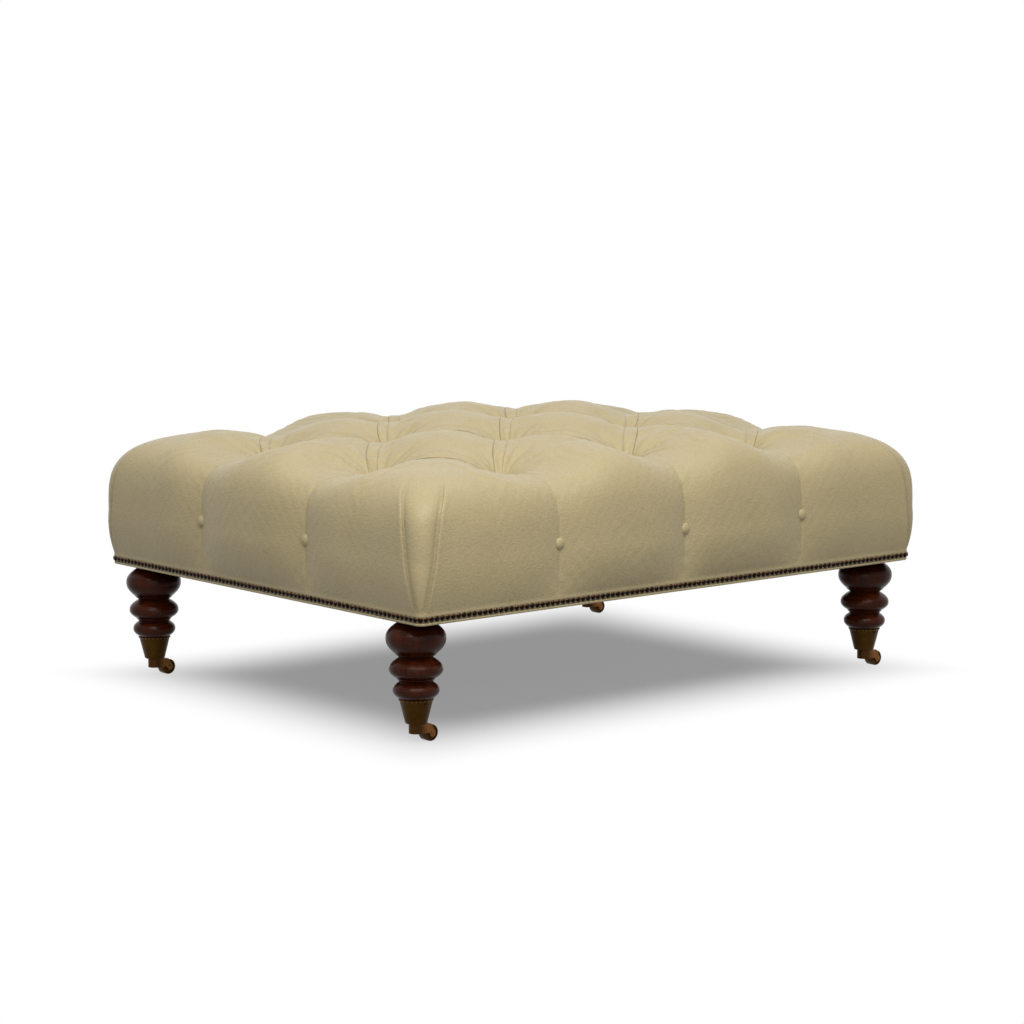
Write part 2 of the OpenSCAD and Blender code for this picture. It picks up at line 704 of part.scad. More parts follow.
// Round-head screw with the underside of its head on the origin
module cup_screw(gap = 0) {
    head_d = 2 * cup_screw_d;
    translate([0, 0, -cup_screw_l]) cylinder(d = cup_screw_d + 2 * gap, h = cup_screw_l + 0.2, $fn = fn_small);
    if (gap == 0) translate([0, 0, seat_gap]) intersection() {
        cylinder(d = head_d, h = cup_screw_d * 0.6, $fn = fn_small);
        translate([0, 0, -head_d * 0.2]) sphere(d = head_d * 1.1, $fn = fn_small);
    }
}

module cup_screws() {
    color("#7a5a2c") for (l = LEGS) translate([l[1] * leg_x, l[2] * leg_y, 0])
        for (s = [-1, 1]) cup_screw_at(s) cup_screw();
}

module caster_cup(l) {
    rim_t = 0.6;
    rim_h = 4;
    slope = (cup_top_d - cup_bottom_d) / 2 / cup_h;
    bottom_r = cup_bottom_d / 2;
    top_r = cup_top_d / 2;
    round_r = 2.5;
    outline = [
        [0, cup_z], [bottom_r - round_r, cup_z], [bottom_r - round_r * 0.3, cup_z + round_r * 0.3],
        [bottom_r + round_r * slope, cup_z + round_r],
        [top_r - slope * rim_h, cup_top - rim_h], [top_r - slope * rim_h + rim_t, cup_top - rim_h + 0.8],
        [top_r + rim_t * 0.6, cup_top - 0.8], [top_r, cup_top], [top_r - cup_wall, cup_top],
        [bottom_r - cup_wall, cup_z + cup_floor], [0, cup_z + cup_floor]];
    color("#4a3210") translate([l[1] * leg_x, l[2] * leg_y, 0]) difference() {
        rotate_extrude($fn = fn_big) polygon(outline);
        translate([0, 0, cup_z - 1]) cylinder(d = pintle_d + 2 * run_gap, h = cup_floor + 2, $fn = fn_big);
        for (s = [-1, 1]) cup_screw_at(s) cup_screw(seat_gap);
    }
}

hub_top = cup_z - thrust_t - 2 * seat_gap;
hub_h = 15.5;
axle_z = wheel_d / 2;
pocket_r = wheel_d / 2 + 1.2;
pocket_w = wheel_w + 2 * move_gap;
axle_head_t = 1;

// The pintle is riveted into the hub and its head turns on the cup's floor, over the thrust washer
module pintle(l) {
    head_z = cup_z + cup_floor + seat_gap;
    color("#8a6a35") translate([l[1] * leg_x, l[2] * leg_y, 0]) {
        translate([0, 0, hub_top - hub_h + 5]) cylinder(d = pintle_d, h = head_z - hub_top + hub_h - 5, $fn = fn_big);
        translate([0, 0, head_z]) cylinder(d = pintle_d + 5, h = pintle_head_t, $fn = fn_big);
        translate([0, 0, hub_top + seat_gap]) difference() {
            cylinder(d = hub_d - 3, h = thrust_t, $fn = fn_big);
            translate([0, 0, -1]) cylinder(d = pintle_d - 1, h = thrust_t + 2, $fn = fn_big);
        }
    }
}

// Side view of the fork: the web over the front of the wheel, and the arm down to the axle
module fork_outline() {
    arm_r = axle_d / 2 + 3.5;
    web_r = 5;
    translate([0, hub_top - hub_h]) square([trail - arm_r, hub_h]);
    hull() {
        translate([trail, axle_z]) circle(r = arm_r, $fn = fn_big);
        translate([trail - arm_r, hub_top - web_r]) circle(r = web_r, $fn = fn_big);
    }
}

module horn(l) {
    web_end = trail - 4.5;
    color("#7c5528") translate([l[1] * leg_x, l[2] * leg_y, 0]) difference() {
        union() {
            translate([0, 0, hub_top - hub_h]) cylinder(d = hub_d, h = hub_h, $fn = fn_big);
            translate([0, hub_d / 2, 0]) rotate([90, 0, 0]) linear_extrude(hub_d) fork_outline();
        }
        translate([trail, pocket_w / 2, axle_z]) rotate([90, 0, 0]) cylinder(r = pocket_r, h = pocket_w, $fn = fn_big);
        translate([web_end, -pocket_w / 2, axle_z]) cube([2 * pocket_r, pocket_w, hub_top]);
        translate([0, 0, hub_top - hub_h + 5]) cylinder(d = pintle_d + 2 * seat_gap, h = hub_h, $fn = fn_big);
        translate([trail, hub_d, axle_z]) rotate([90, 0, 0]) cylinder(d = axle_d + 2 * seat_gap, h = 2 * hub_d, $fn = fn_small);
    }
}

module axle(l) {
    reach = hub_d / 2 + seat_gap;
    color("#8a6a35") translate([l[1] * leg_x + trail, l[2] * leg_y, axle_z]) rotate([90, 0, 0]) {
        translate([0, 0, -reach]) cylinder(d = axle_d, h = 2 * reach, $fn = fn_big);
        for (s = [0, 1]) mirror([0, 0, s]) translate([0, 0, reach]) intersection() {
            cylinder(d = axle_d + 2.4, h = axle_head_t, $fn = fn_big);
            translate([0, 0, -axle_d + axle_head_t]) sphere(r = axle_d, $fn = fn_big);
        }
    }
}

module wheel(l) {
    edge = 1.4;
    r = wheel_d / 2;
    w = wheel_w / 2;
    color("#4f3518") translate([l[1] * leg_x + trail, l[2] * leg_y, axle_z]) rotate([90, 0, 0]) rotate_extrude($fn = fn_big)
        polygon([[axle_d / 2 + run_gap, -w], [r - edge, -w], [r, -w + edge], [r, w - edge], [r - edge, w],
                 [axle_d / 2 + run_gap, w]]);
}

// ---- Assembly -------------------------------------------------------------

leather_cover();
foam_core();
seat_deck();
long_rail(-1);  // front_rail
long_rail(1);  // back_rail
short_rail(-1);  // left_rail
short_rail(1);  // right_rail
cross_rail(-1);  // cross_rail_left
cross_rail(1);  // cross_rail_right
welt();
nails_front();
nails_back();
nails_left();
nails_right();
top_buttons();
side_buttons();
button_twine();
tufting_washers();
dust_cover();
dust_staples();
deck_screws();
frame_screws();
block_screws();
tee_nuts();
hanger_bolts();
cup_screws();
for (l = LEGS) {
    corner_block(l);
    turned_leg(l);
    caster_cup(l);
    pintle(l);
    horn(l);
    axle(l);
    wheel(l);
}
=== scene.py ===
"""Tufted leather ottoman coffee table: leather, trim, turned legs and casters around its frame."""

import math

import bpy
import numpy as np
from bpy.props import FloatProperty, FloatVectorProperty, IntProperty, PointerProperty
from mathutils import Matrix, Vector


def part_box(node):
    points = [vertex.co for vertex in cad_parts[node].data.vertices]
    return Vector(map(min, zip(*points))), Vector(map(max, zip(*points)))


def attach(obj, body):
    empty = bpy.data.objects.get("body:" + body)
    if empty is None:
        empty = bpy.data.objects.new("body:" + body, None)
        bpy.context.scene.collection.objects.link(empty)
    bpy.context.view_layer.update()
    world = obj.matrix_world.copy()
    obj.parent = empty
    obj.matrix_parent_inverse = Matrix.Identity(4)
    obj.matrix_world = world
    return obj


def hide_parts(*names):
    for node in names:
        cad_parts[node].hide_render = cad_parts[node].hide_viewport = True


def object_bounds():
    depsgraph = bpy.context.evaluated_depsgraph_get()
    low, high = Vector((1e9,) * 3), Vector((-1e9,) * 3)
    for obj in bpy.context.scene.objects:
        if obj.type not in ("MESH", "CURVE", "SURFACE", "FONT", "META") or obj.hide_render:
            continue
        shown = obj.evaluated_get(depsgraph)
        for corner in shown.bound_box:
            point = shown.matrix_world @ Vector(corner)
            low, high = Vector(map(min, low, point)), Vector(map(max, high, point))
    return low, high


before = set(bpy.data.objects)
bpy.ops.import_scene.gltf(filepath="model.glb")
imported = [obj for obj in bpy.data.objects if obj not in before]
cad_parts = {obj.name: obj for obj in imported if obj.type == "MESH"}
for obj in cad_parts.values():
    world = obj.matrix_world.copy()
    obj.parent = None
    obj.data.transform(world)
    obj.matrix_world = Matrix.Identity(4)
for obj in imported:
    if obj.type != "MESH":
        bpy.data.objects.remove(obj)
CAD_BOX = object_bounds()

bl_info = {
    "name": "Tufted ottoman coffee table",
    "version": (1, 0, 0),
    "blender": (4, 5, 0),
    "location": "View3D > Sidebar > Ottoman",
    "description": "Dresses the frame of a tufted ottoman with leather, nails, turned legs and casters",
    "category": "Object",
}

CORNERS = ("front_left", "front_right", "back_left", "back_right")
FRAME_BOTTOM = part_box("front_rail")[0].z
RAIL_REACH = (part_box("front_rail")[1].x, -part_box("front_rail")[0].y)
# Where each leg's middle line meets the floor
LEG_AXIS = {c: sum(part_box("leg_" + c), Vector()) / 2 * Vector((1, 1, 0)) for c in CORNERS}
# Pieces at rest beside each other keep this gap
REST_GAP = 0.00005


# ---- Helpers ----------------------------------------------------------------


def hex_linear(code):
    """An sRGB hex colour as linear red, green and blue."""
    parts = [int(code[k : k + 2], 16) / 255 for k in (1, 3, 5)]
    return tuple(c / 12.92 if c <= 0.04045 else ((c + 0.055) / 1.055) ** 2.4 for c in parts)


def node(tree, kind, inputs=(), **settings):
    """Adds a node. inputs gives its sockets, by name, number or order, a value, an output or a node."""
    made = tree.nodes.new(kind)
    for name, value in settings.items():
        setattr(made, name, value)
    pairs = inputs.items() if isinstance(inputs, dict) else enumerate(inputs)
    for key, value in pairs:
        if isinstance(value, bpy.types.Node):
            value = value.outputs[0]
        if isinstance(value, bpy.types.NodeSocket):
            tree.links.new(value, made.inputs[key])
        else:
            made.inputs[key].default_value = value
    return made


def new_material(name):
    """A material, its emptied tree and the object's coordinates in it. A name that exists is used again."""
    material = bpy.data.materials.get(name) or bpy.data.materials.new(name)
    material.use_nodes = True
    tree = material.node_tree
    tree.nodes.clear()
    return material, tree, node(tree, "ShaderNodeTexCoord").outputs["Object"]


def surface(tree, shader):
    node(tree, "ShaderNodeOutputMaterial", {"Surface": shader})


def scale_of(size_mm):
    """A pattern's scale from the real size of its cells."""
    return 1000 / size_mm


def noise(tree, place, size_mm, detail, roughness=0.5):
    inputs = {"Vector": place, "Scale": scale_of(size_mm), "Detail": detail, "Roughness": roughness}
    return node(tree, "ShaderNodeTexNoise", inputs)


def maths(tree, operation, *values):
    return node(tree, "ShaderNodeMath", values, operation=operation)


def ramp(tree, value, low, high, to_low=0.0, to_high=1.0, kind="SMOOTHSTEP"):
    """A value carried from one range into another, eased at its ends unless kind says otherwise."""
    return node(tree, "ShaderNodeMapRange", (value, low, high, to_low, to_high), interpolation_type=kind)


def mix(tree, share, *tones):
    """A colour between two, which are tones or other nodes' colours."""
    first, second = (t if isinstance(t, bpy.types.NodeSocket) else (*t, 1) for t in tones)
    return node(tree, "ShaderNodeMix", {0: share, 6: first, 7: second}, data_type="RGBA").outputs[2]


def relief(tree, height, strength, depth_mm, **under):
    inputs = {"Strength": strength, "Distance": depth_mm / 1000, "Height": height, **under}
    return node(tree, "ShaderNodeBump", inputs)


def principled(tree, base, roughness, normal, **more):
    """A real material's surface. In more, the words of a socket's name are joined by _."""
    inputs = {"Base Color": base, "Roughness": roughness, "Normal": normal}
    inputs.update({key.replace("_", " "): value for key, value in more.items()})
    surface(tree, node(tree, "ShaderNodeBsdfPrincipled", inputs))


def length(name, text, value):
    """A size in metres for a settings group."""
    return FloatProperty(
        name=name, description=text, default=value, min=0.0, max=3.0, unit="LENGTH", precision=4
    )


def amount(name, text, value):
    """A power, a strength or a share for a settings group."""
    return FloatProperty(name=name, description=text, default=value, min=0.0)


def colour(name, text, code):
    """A colour for a settings group, from its sRGB hex code."""
    return FloatVectorProperty(
        name=name, description=text, default=hex_linear(code), min=0, max=1, size=3, subtype="COLOR"
    )


def deselect():
    if bpy.context.object and bpy.context.object.mode != "OBJECT":
        bpy.ops.object.mode_set(mode="OBJECT")
    bpy.ops.object.select_all(action="DESELECT")


def select_only(obj):
    deselect()
    obj.select_set(True)
    bpy.context.view_layer.objects.active = obj


def edit(obj):
    """Edit mode with everything selected."""
    select_only(obj)
    bpy.ops.object.mode_set(mode="EDIT")
    bpy.ops.mesh.select_all(action="SELECT")


def leave_edit():
    bpy.ops.object.mode_set(mode="OBJECT")


def select_parts(obj, faces=None, verts=None):
    """Edit mode with the faces or the vertices selected that pass a test."""
    edit(obj)
    bpy.ops.mesh.select_mode(type="FACE" if faces else "VERT")
    bpy.ops.mesh.select_all(action="DESELECT")
    leave_edit()
    if faces:
        for f in obj.data.polygons:
            f.select = bool(faces(f))
    else:
        for v in obj.data.vertices:
            v.select = bool(verts(v.co))
    bpy.ops.object.mode_set(mode="EDIT")


def apply_modifier(obj, kind, **settings):
    """Adds a modifier and applies it."""
    select_only(obj)
    modifier = obj.modifiers.new(kind.title(), kind)
    for name, value in settings.items():
        setattr(modifier, name, value)
    bpy.ops.object.modifier_apply(modifier=modifier.name)


def remove(*objects):
    for obj in objects:
        bpy.data.objects.remove(obj)


def settle(obj):
    """Puts the object's place, turn and size into its mesh."""
    select_only(obj)
    bpy.ops.object.transform_apply(location=True, rotation=True, scale=True)


def spin(angle, axis):
    """A turn about an axis through the origin."""
    return Matrix.Rotation(angle, 4, axis)


def copy_to(obj, name, move=(0, 0, 0), turn=None):
    """A copy with its own mesh, moved and turned in its vertices."""
    twin = obj.copy()
    twin.data = obj.data.copy()
    twin.name = name
    twin.data.name = name
    bpy.context.collection.objects.link(twin)
    twin.data.transform(Matrix.Translation(move) @ (turn or Matrix.Identity(4)))
    return twin


def join(name, parts):
    """Joins objects into one piece."""
    deselect()
    for part in parts:
        part.select_set(True)
    bpy.context.view_layer.objects.active = parts[0]
    bpy.ops.object.join()
    made = bpy.context.object
    made.name = name
    made.data.name = name
    return made


def smooth(obj, degrees=None):
    select_only(obj)
    if degrees is None:
        bpy.ops.object.shade_smooth()
    else:
        bpy.ops.object.shade_smooth_by_angle(angle=math.radians(degrees))


def dress(obj, material):
    obj.data.materials.clear()
    obj.data.materials.append(material)


def finish_piece(obj, material, body, slot, *nodes):
    """Gives a piece its finish and its body, and hides the nodes that it stands for."""
    dress(obj, material)
    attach(obj, body)
    if nodes:
        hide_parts(*nodes)


def turned(name, outline, segments):
    """A turned solid: a disc is extruded up its outline of (radius, height) stations about the Z axis."""
    deselect()
    first_r, first_z = outline[0]
    bpy.ops.mesh.primitive_circle_add(
        vertices=segments, radius=first_r, fill_type="NGON", location=(0, 0, first_z)
    )
    obj = bpy.context.object
    obj.name = name
    obj.data.name = name
    edit(obj)
    bpy.ops.mesh.select_mode(type="FACE")
    bpy.ops.mesh.select_all(action="SELECT")
    for (r0, z0), (r1, z1) in zip(outline, outline[1:]):
        bpy.ops.mesh.extrude_region_move(TRANSFORM_OT_translate={"value": (0, 0, z1 - z0)})
        k = r1 / r0
        bpy.ops.transform.resize(value=(k, k, 1), center_override=(0, 0, z1))
    bpy.ops.mesh.select_all(action="SELECT")
    bpy.ops.mesh.normals_make_consistent(inside=False)
    leave_edit()
    settle(obj)
    return obj


# ---- Settings ---------------------------------------------------------------


def setting_names(group):
    return [key for key in group.bl_rna.properties.keys() if key not in ("rna_type", "name")]


class OttomanCushionSettings(bpy.types.PropertyGroup):
    body_length: length("Body length", "Length of the body at its bottom edge", 1.160)
    body_width: length("Body width", "Width of the body at its bottom edge", 0.918)
    seat_height: length("Seat height", "Middle of the seat above the frame's underside", 0.289)
    crown_x: length("Crown along", "Fall of the seat to the last buttons of a long row", 0.041)
    crown_y: length("Crown across", "Fall of the seat to the outer rows", 0.030)
    crown_corner: length("Crown at the corners", "How much of both falls the corners are spared", 0.020)
    side_bulge: length("Side bulge", "How far a side's middle stands past the bottom edge", 0.022)
    corner_bulge: length("Corner bulge", "How far the corners stand past the bottom edge", 0.013)
    widest_height: length("Widest height", "Height of the widest line above the frame's underside", 0.098)
    corner_radius: length("Corner radius", "Corner radius at the widest line", 0.036)
    band_height: length("Band height", "Height of the nailing band", 0.015)
    band_radius: length("Band radius", "Corner radius of the nailing band", 0.013)
    tuft_inset: length("Tuft inset", "From the bottom edge's line to the outermost buttons", 0.149)
    tuft_depth: length("Tuft depth", "Depth of a button below the seat", 0.081)
    pleat_depth: length("Pleat depth", "Depth of a pleat midway between two buttons", 0.012)
    hollow_reach: length("Hollow reach", "Reach of the hollow that a button pulls in", 0.030)
    shoulder_sag: length("Shoulder sag", "Further sag of the outer pleats over the shoulder", 0.016)
    side_pleat: length("Side pleats", "How far the side pleats stand past the bottom edge", 0.004)
    fold_height: length("Fold height", "How far a fold's edge stands proud", 0.0022)
    tongue_depth: length("Corner tongue", "Depth of the folds beside a corner's tongue", 0.0048)
    cells: IntProperty(
        name="Cells", description="Cells of the mesh in one step of the buttons", default=48, min=12
    )


class OttomanTrimSettings(bpy.types.PropertyGroup):
    button_diameter: length("Button diameter", "Diameter of the covered buttons", 0.020)
    button_thickness: length("Button thickness", "Thickness of the covered buttons", 0.006)
    side_button_height: length("Side button height", "Side buttons above the frame's underside", 0.107)
    welt_diameter: length("Welt diameter", "Diameter of the welt along the bottom edge", 0.0056)
    nail_diameter: length("Nail diameter", "Diameter of the nail heads", 0.0094)
    nail_line: length("Nail line", "Height of the nails' middles above the frame's underside", 0.0076)
    nail_height: length("Nail height", "Height of the domed nail heads", 0.0026)
    nail_pitch: length("Nail pitch", "Distance between nail heads", 0.0112)


class OttomanLegSettings(bpy.types.PropertyGroup):
    bun_diameter: length("Bun diameter", "Diameter of the bun at the top of the leg", 0.100)
    mid_diameter: length("Middle bead diameter", "Diameter of the middle bead", 0.0895)
    low_diameter: length("Lower bead diameter", "Diameter of the lower bead", 0.077)
    neck_diameter: length("Neck diameter", "Diameter of the necks between the beads", 0.056)
    collar_diameter: length("Collar diameter", "Diameter of the collar under the frame", 0.061)
    mid_swell: length("Middle swell", "Diameter of the swell under the middle bead", 0.0645)
    bun_swell: length("Bun swell", "Diameter of the swell under the bun", 0.0685)


class OttomanCasterSettings(bpy.types.PropertyGroup):
    cup_bottom: length("Cup height", "Height of the cup's underside above the floor", 0.032)
    cup_height: length("Cup length", "Height of the cup", 0.042)
    cup_top_diameter: length("Cup rim", "Diameter of the cup at its rim", 0.057)
    cup_bottom_diameter: length("Cup foot", "Diameter of the cup at its underside", 0.036)
    wheel_diameter: length("Wheel diameter", "Diameter of the wheel", 0.028)
    wheel_width: length("Wheel width", "Width of the wheel", 0.0186)
    hub_diameter: length("Hub diameter", "Diameter of the horn's hub", 0.025)
    trail: length("Trail", "How far the axle trails behind the swivel", 0.025)


class OttomanFinishSettings(bpy.types.PropertyGroup):
    leather: colour("Leather", "Pigment of the cowhide", "#bcac83")
    leather_dark: colour("Leather shade", "Cowhide where the pigment lies thicker", "#b2a279")
    # Painted shade: the tone that creases, pebble hollows and the nail line are darkened towards
    leather_painted_shade: colour("Leather painted shade", "Painted shade on the cowhide in its creases and hollows", "#3f3420")
    mahogany: colour("Mahogany", "Stained mahogany between its pores", "#461b06")
    mahogany_dark: colour("Mahogany grain", "Stained mahogany in its pores", "#250c03")
    cup_brass: colour("Cup brass", "Dark antiqued brass", "#35230a")
    horn_brass: colour("Horn brass", "Cast brass, rubbed lighter", "#6b4726")
    wheel_brass: colour("Wheel brass", "Turned brass under old lacquer", "#3a2812")
    nail_bronze: colour("Nail bronze", "Antiqued nail heads", "#130b06")
    # Painted highlight: the copper tone on the nail heads' upper rims
    nail_painted_highlight: colour("Nail painted highlight", "Painted highlight on the nail heads' upper rims", "#7d5540")


class OttomanStageSettings(bpy.types.PropertyGroup):
    key_power: amount("Key power", "Power of the overhead softbox in watts", 10.0)
    fill_power: amount("Fill power", "Power of the front softbox in watts", 144.0)
    window_power: amount("Window power", "Power of the low front lamp in watts", 16.0)
    room_light: amount("Room light", "Strength of the even light of the room", 0.31)
    floor_tone: amount("Floor tone", "How much light the floor throws back", 0.25)


# ---- Finishes ---------------------------------------------------------------


# How each crease shows in the leather's finish, by attribute: its width in mm, how dark its painted shade
# is, how deep it cuts and how far its edge rolls up, both in mm
FOLD_LOOKS = {
    "pleat_a": ((1.8, 0.60, 0.9, 1.1), (1.6, 0.14, 0.4, 0.5)),
    "pleat_b": ((1.5, 0.46, 0.5, 0.9), (1.4, 0.20, 0.4, 0.5)),
    "side_pleat": ((0.9, 0.14, 0.25, 0.15),),
    # The tongue's second entry is a band of painted shade just inside its folds
    "tongue": ((1.3, 0.25, 0.5, 0.5), (8.0, 0.15, 0.0, 0.0)),
    # The nail line is painted shade on the leather between the nail heads
    "nail_line": ((8.4, 0.97, 0.0, 0.0),),
}
# Half the width of the step up to a rolled edge, and how far behind it the roll fades out, in mm
ROLL_STEP = 0.9
ROLL_FADE = 12.0
# How dark the painted shade along the short folds around a button is
FAN_SHADE = 0.22
# Share of its tone that the horn's brass keeps on its darker hub
HUB_TONE_SHARE = 0.32


def cowhide(name, folds=False):
    """Pigmented cowhide, embossed with a pebble grain: even colour, soft sheen, painted shade between its
    pebbles and, with folds, in its creases and along the nail line.
    """
    look = bpy.context.scene.ottoman_finish
    material, tree, place = new_material(name)
    # Clouds of pigment about 60 mm across
    base = mix(tree, noise(tree, place, 62.5, 3.0), look.leather, look.leather_dark)
    # Pebbles about 3.4 mm across, drawn twice their real size so that they show at this distance
    inputs = {"Vector": place, "Scale": scale_of(3.45)}
    pebble = node(tree, "ShaderNodeTexVoronoi", inputs, feature="SMOOTH_F1")
    # They stand proud of the creases between them, under hair pores about 1 mm apart
    fine = maths(tree, "MULTIPLY", noise(tree, place, 1.11, 2.0), 0.3)
    grain = maths(tree, "MULTIPLY_ADD", pebble, -0.75, fine)
    rough = ramp(tree, pebble, 0.0, 0.8, 0.34, 0.46, "LINEAR")
    # Painted shade: the colour is a little darker between the pebbles
    base = mix(tree, ramp(tree, pebble, 0.25, 0.75, 0.0, 0.07), base, look.leather_painted_shade)
    under = {}
    if folds:
        # Painted shade: the creases, the tongue's edges, the nail line and the short folds darken towards
        # the shade tone
        painted_shade, height = 0.0, 0.0
        for channel, creases in FOLD_LOOKS.items():
            read = node(tree, "ShaderNodeAttribute", attribute_name=channel).outputs["Vector"]
            parts = node(tree, "ShaderNodeSeparateXYZ", (read,)).outputs
            shown = parts[2]
            for away, (width, dark, slit, lip) in zip(parts, creases):
                near = ramp(tree, maths(tree, "ABSOLUTE", away), 0.0, width, 1.0, 0.0)
                near = maths(tree, "MULTIPLY", near, shown)
                painted_shade = maths(tree, "MAXIMUM", painted_shade, maths(tree, "MULTIPLY", near, dark))
                height = maths(tree, "MULTIPLY_ADD", near, -slit, height)
                # The leather rolls up towards the crease on one side of it
                step = ramp(tree, away, -ROLL_STEP, ROLL_STEP)
                rolled = maths(tree, "MULTIPLY", step, ramp(tree, away, 0.0, ROLL_FADE, lip, 0.0))
                height = maths(tree, "MULTIPLY_ADD", rolled, shown, height)
        # Painted shade along the short folds round the buttons
        read = node(tree, "ShaderNodeAttribute", attribute_name="fans").outputs["Vector"]
        fans = node(tree, "ShaderNodeSeparateXYZ", (read,)).outputs[2]
        painted_shade = maths(tree, "MAXIMUM", painted_shade, maths(tree, "MULTIPLY", fans, FAN_SHADE))
        base = mix(tree, painted_shade, base, look.leather_painted_shade)
        under["Normal"] = relief(tree, height, 1.0, 1.0)
    normal = relief(tree, grain, 0.55, 1.2, **under)
    more = {"IOR": 1.5, "Specular_IOR_Level": 0.3, "Sheen_Weight": 0.13, "Sheen_Roughness": 0.4}
    principled(tree, base, rough, normal, **more)
    return material


def polished_mahogany():
    """Mahogany stained dark red-brown, turned and French polished: long pores, tool rings, a soft gloss."""
    look = bpy.context.scene.ottoman_finish
    material, tree, place = new_material("polished_mahogany")
    # Pores run up the leg, about 2.4 mm wide and 48 mm long, in a figure about 17 mm wide
    upright = node(tree, "ShaderNodeMapping", {"Vector": place, "Scale": (1.0, 1.0, 0.05)})
    grain = maths(
        tree, "MULTIPLY_ADD", noise(tree, upright, 2.38, 4.0), 0.55, noise(tree, upright, 16.7, 2.0)
    )
    # Tool rings from the lathe, about 1.5 mm apart, show as fine level streaks
    level = node(tree, "ShaderNodeMapping", {"Vector": place, "Scale": (0.02, 0.02, 1.0)})
    rings = noise(tree, level, 1.54, 3.0)
    share = ramp(tree, maths(tree, "MULTIPLY_ADD", rings, 0.8, grain), 0.8, 1.5)
    base = mix(tree, share, look.mahogany_dark, look.mahogany)
    principled(tree, base, 0.24, relief(tree, rings, 0.7, 0.6), IOR=1.45, Specular_IOR_Level=0.11)
    return material


def antiqued_metal(name, tone, rubbed, roughness, cloud_mm, mark=None, mark_tone=None):
    """Brass or bronze under a dark patina: clouds of tarnish, rubbed lighter in patches, a cast skin.

    mark names a point attribute that is 1 where the metal has another tone."""
    material, tree, place = new_material(name)
    cloud = noise(tree, place, cloud_mm, 4.0, 0.6)
    light = tuple(min(1.0, c * rubbed) for c in tone)
    base = mix(tree, ramp(tree, cloud, 0.35, 0.7, kind="LINEAR"), tone, light)
    if mark:
        marked = node(tree, "ShaderNodeAttribute", attribute_name=mark).outputs["Fac"]
        base = mix(tree, marked, base, mark_tone)
    # Rubbed metal is smoother
    rough = ramp(tree, cloud, 0.0, 1.0, roughness + 0.1, roughness - 0.06, "LINEAR")
    # Pits in the skin, about 0.5 mm across
    principled(tree, base, rough, relief(tree, noise(tree, place, 0.556, 2.0), 0.12, 0.2), Metallic=1.0)
    return material


def sawn_wood(name, light, dark, along, pitch_mm):
    """Planed hardwood or birch plywood: growth lines along one axis, matt and unfinished."""
    material, tree, place = new_material(name)
    stretch = [1.0, 1.0, 1.0]
    stretch[along] = 0.06
    drawn_out = node(tree, "ShaderNodeMapping", {"Vector": place, "Scale": tuple(stretch)})
    lines = noise(tree, drawn_out, pitch_mm, 5.0)
    base = mix(tree, lines, hex_linear(light), hex_linear(dark))
    principled(tree, base, 0.7, relief(tree, lines, 0.25, 0.3))
    return material


def plain_stuff(name, light, dark, pitch_mm, roughness, metallic=0.0):
    """Foam, twine, nylon, cambric or zinc: a fine even texture at its own pitch."""
    material, tree, place = new_material(name)
    texture = noise(tree, place, pitch_mm, 3.0)
    base = mix(tree, texture, hex_linear(light), hex_linear(dark))
    principled(tree, base, roughness, relief(tree, texture, 0.3, pitch_mm * 0.3), Metallic=metallic)
    return material


# ---- The tufted cushion -----------------------------------------------------

# Steps of the buttons' pattern from the middle to its last buttons
COLUMNS = 3
ROWS = 2
# How square the shoulder is, and where on it the top's grid ends and the rings of the sides begin
SHOULDER_POWER = 3.6
GRID_EDGE = 0.92
# Brings the sag of a pleat over the shoulder to 1 where it is largest
SAG_PEAK = 2.6
# Stations over the shoulder and rings round its edge and below it, per cell of a step, and the band's rings
GRID_STATIONS = 0.875
SHOULDER_RINGS = 0.5
SIDE_RINGS = 0.375
BAND_RINGS = 6
# Where the main crease lies, in mm off a pleat's line, and how much of that the valley leans
FOLD_SHIFT = {-2: -34, -1: -28, 0: -18, 1: 21, 2: 33}
VALLEY_SHARE = 0.6
# How sharply a hill's two slopes meet, and over which share of the gap between two pleats it levels off
HILL_ROUND = 5
HILL_TOP = 0.15
# How a fold swings out between buttons, where it fades beside its pleat, and the gap to its second crease
ARCH_POWER = 0.55
FOLD_REACH = (66, 96)
FOLD_GAP = 22
# Depth of a crease falls off over this many mm
CREASE_WIDTH = 2.4
# Short folds in each quarter round a button, and the range of their lengths in mm
FANS = 4
FAN_REACH = (62, 125)
# Half widths of a corner's tongue in mm, at heights in mm above the floor
TONGUE_HEIGHTS = (210, 216, 229, 260, 289, 317, 361, 409, 426, 445)
TONGUE_HALF_WIDTHS = (4.0, 6.5, 11.0, 20.0, 26.0, 30.0, 35.5, 37.0, 34.0, 28.0)
# Distances in mm that stand for no crease and no pleat near by
NO_CREASE = 50.0
NO_PLEAT = 200.0
# The leather as cloth: how much coarser its mesh is, frames, push of the padding, how much larger it is
# cut, and its furthest move in mm
SLACK_COARSER = 3
SLACK_FRAMES = 20
SLACK_PRESSURE = 0.7
SLACK_GROWTH = 0.014
SLACK_CAP = 5.0


def smooth_step(low, high, value):
    t = np.clip((value - low) / (high - low), 0, 1)
    return t * t * (3 - 2 * t)


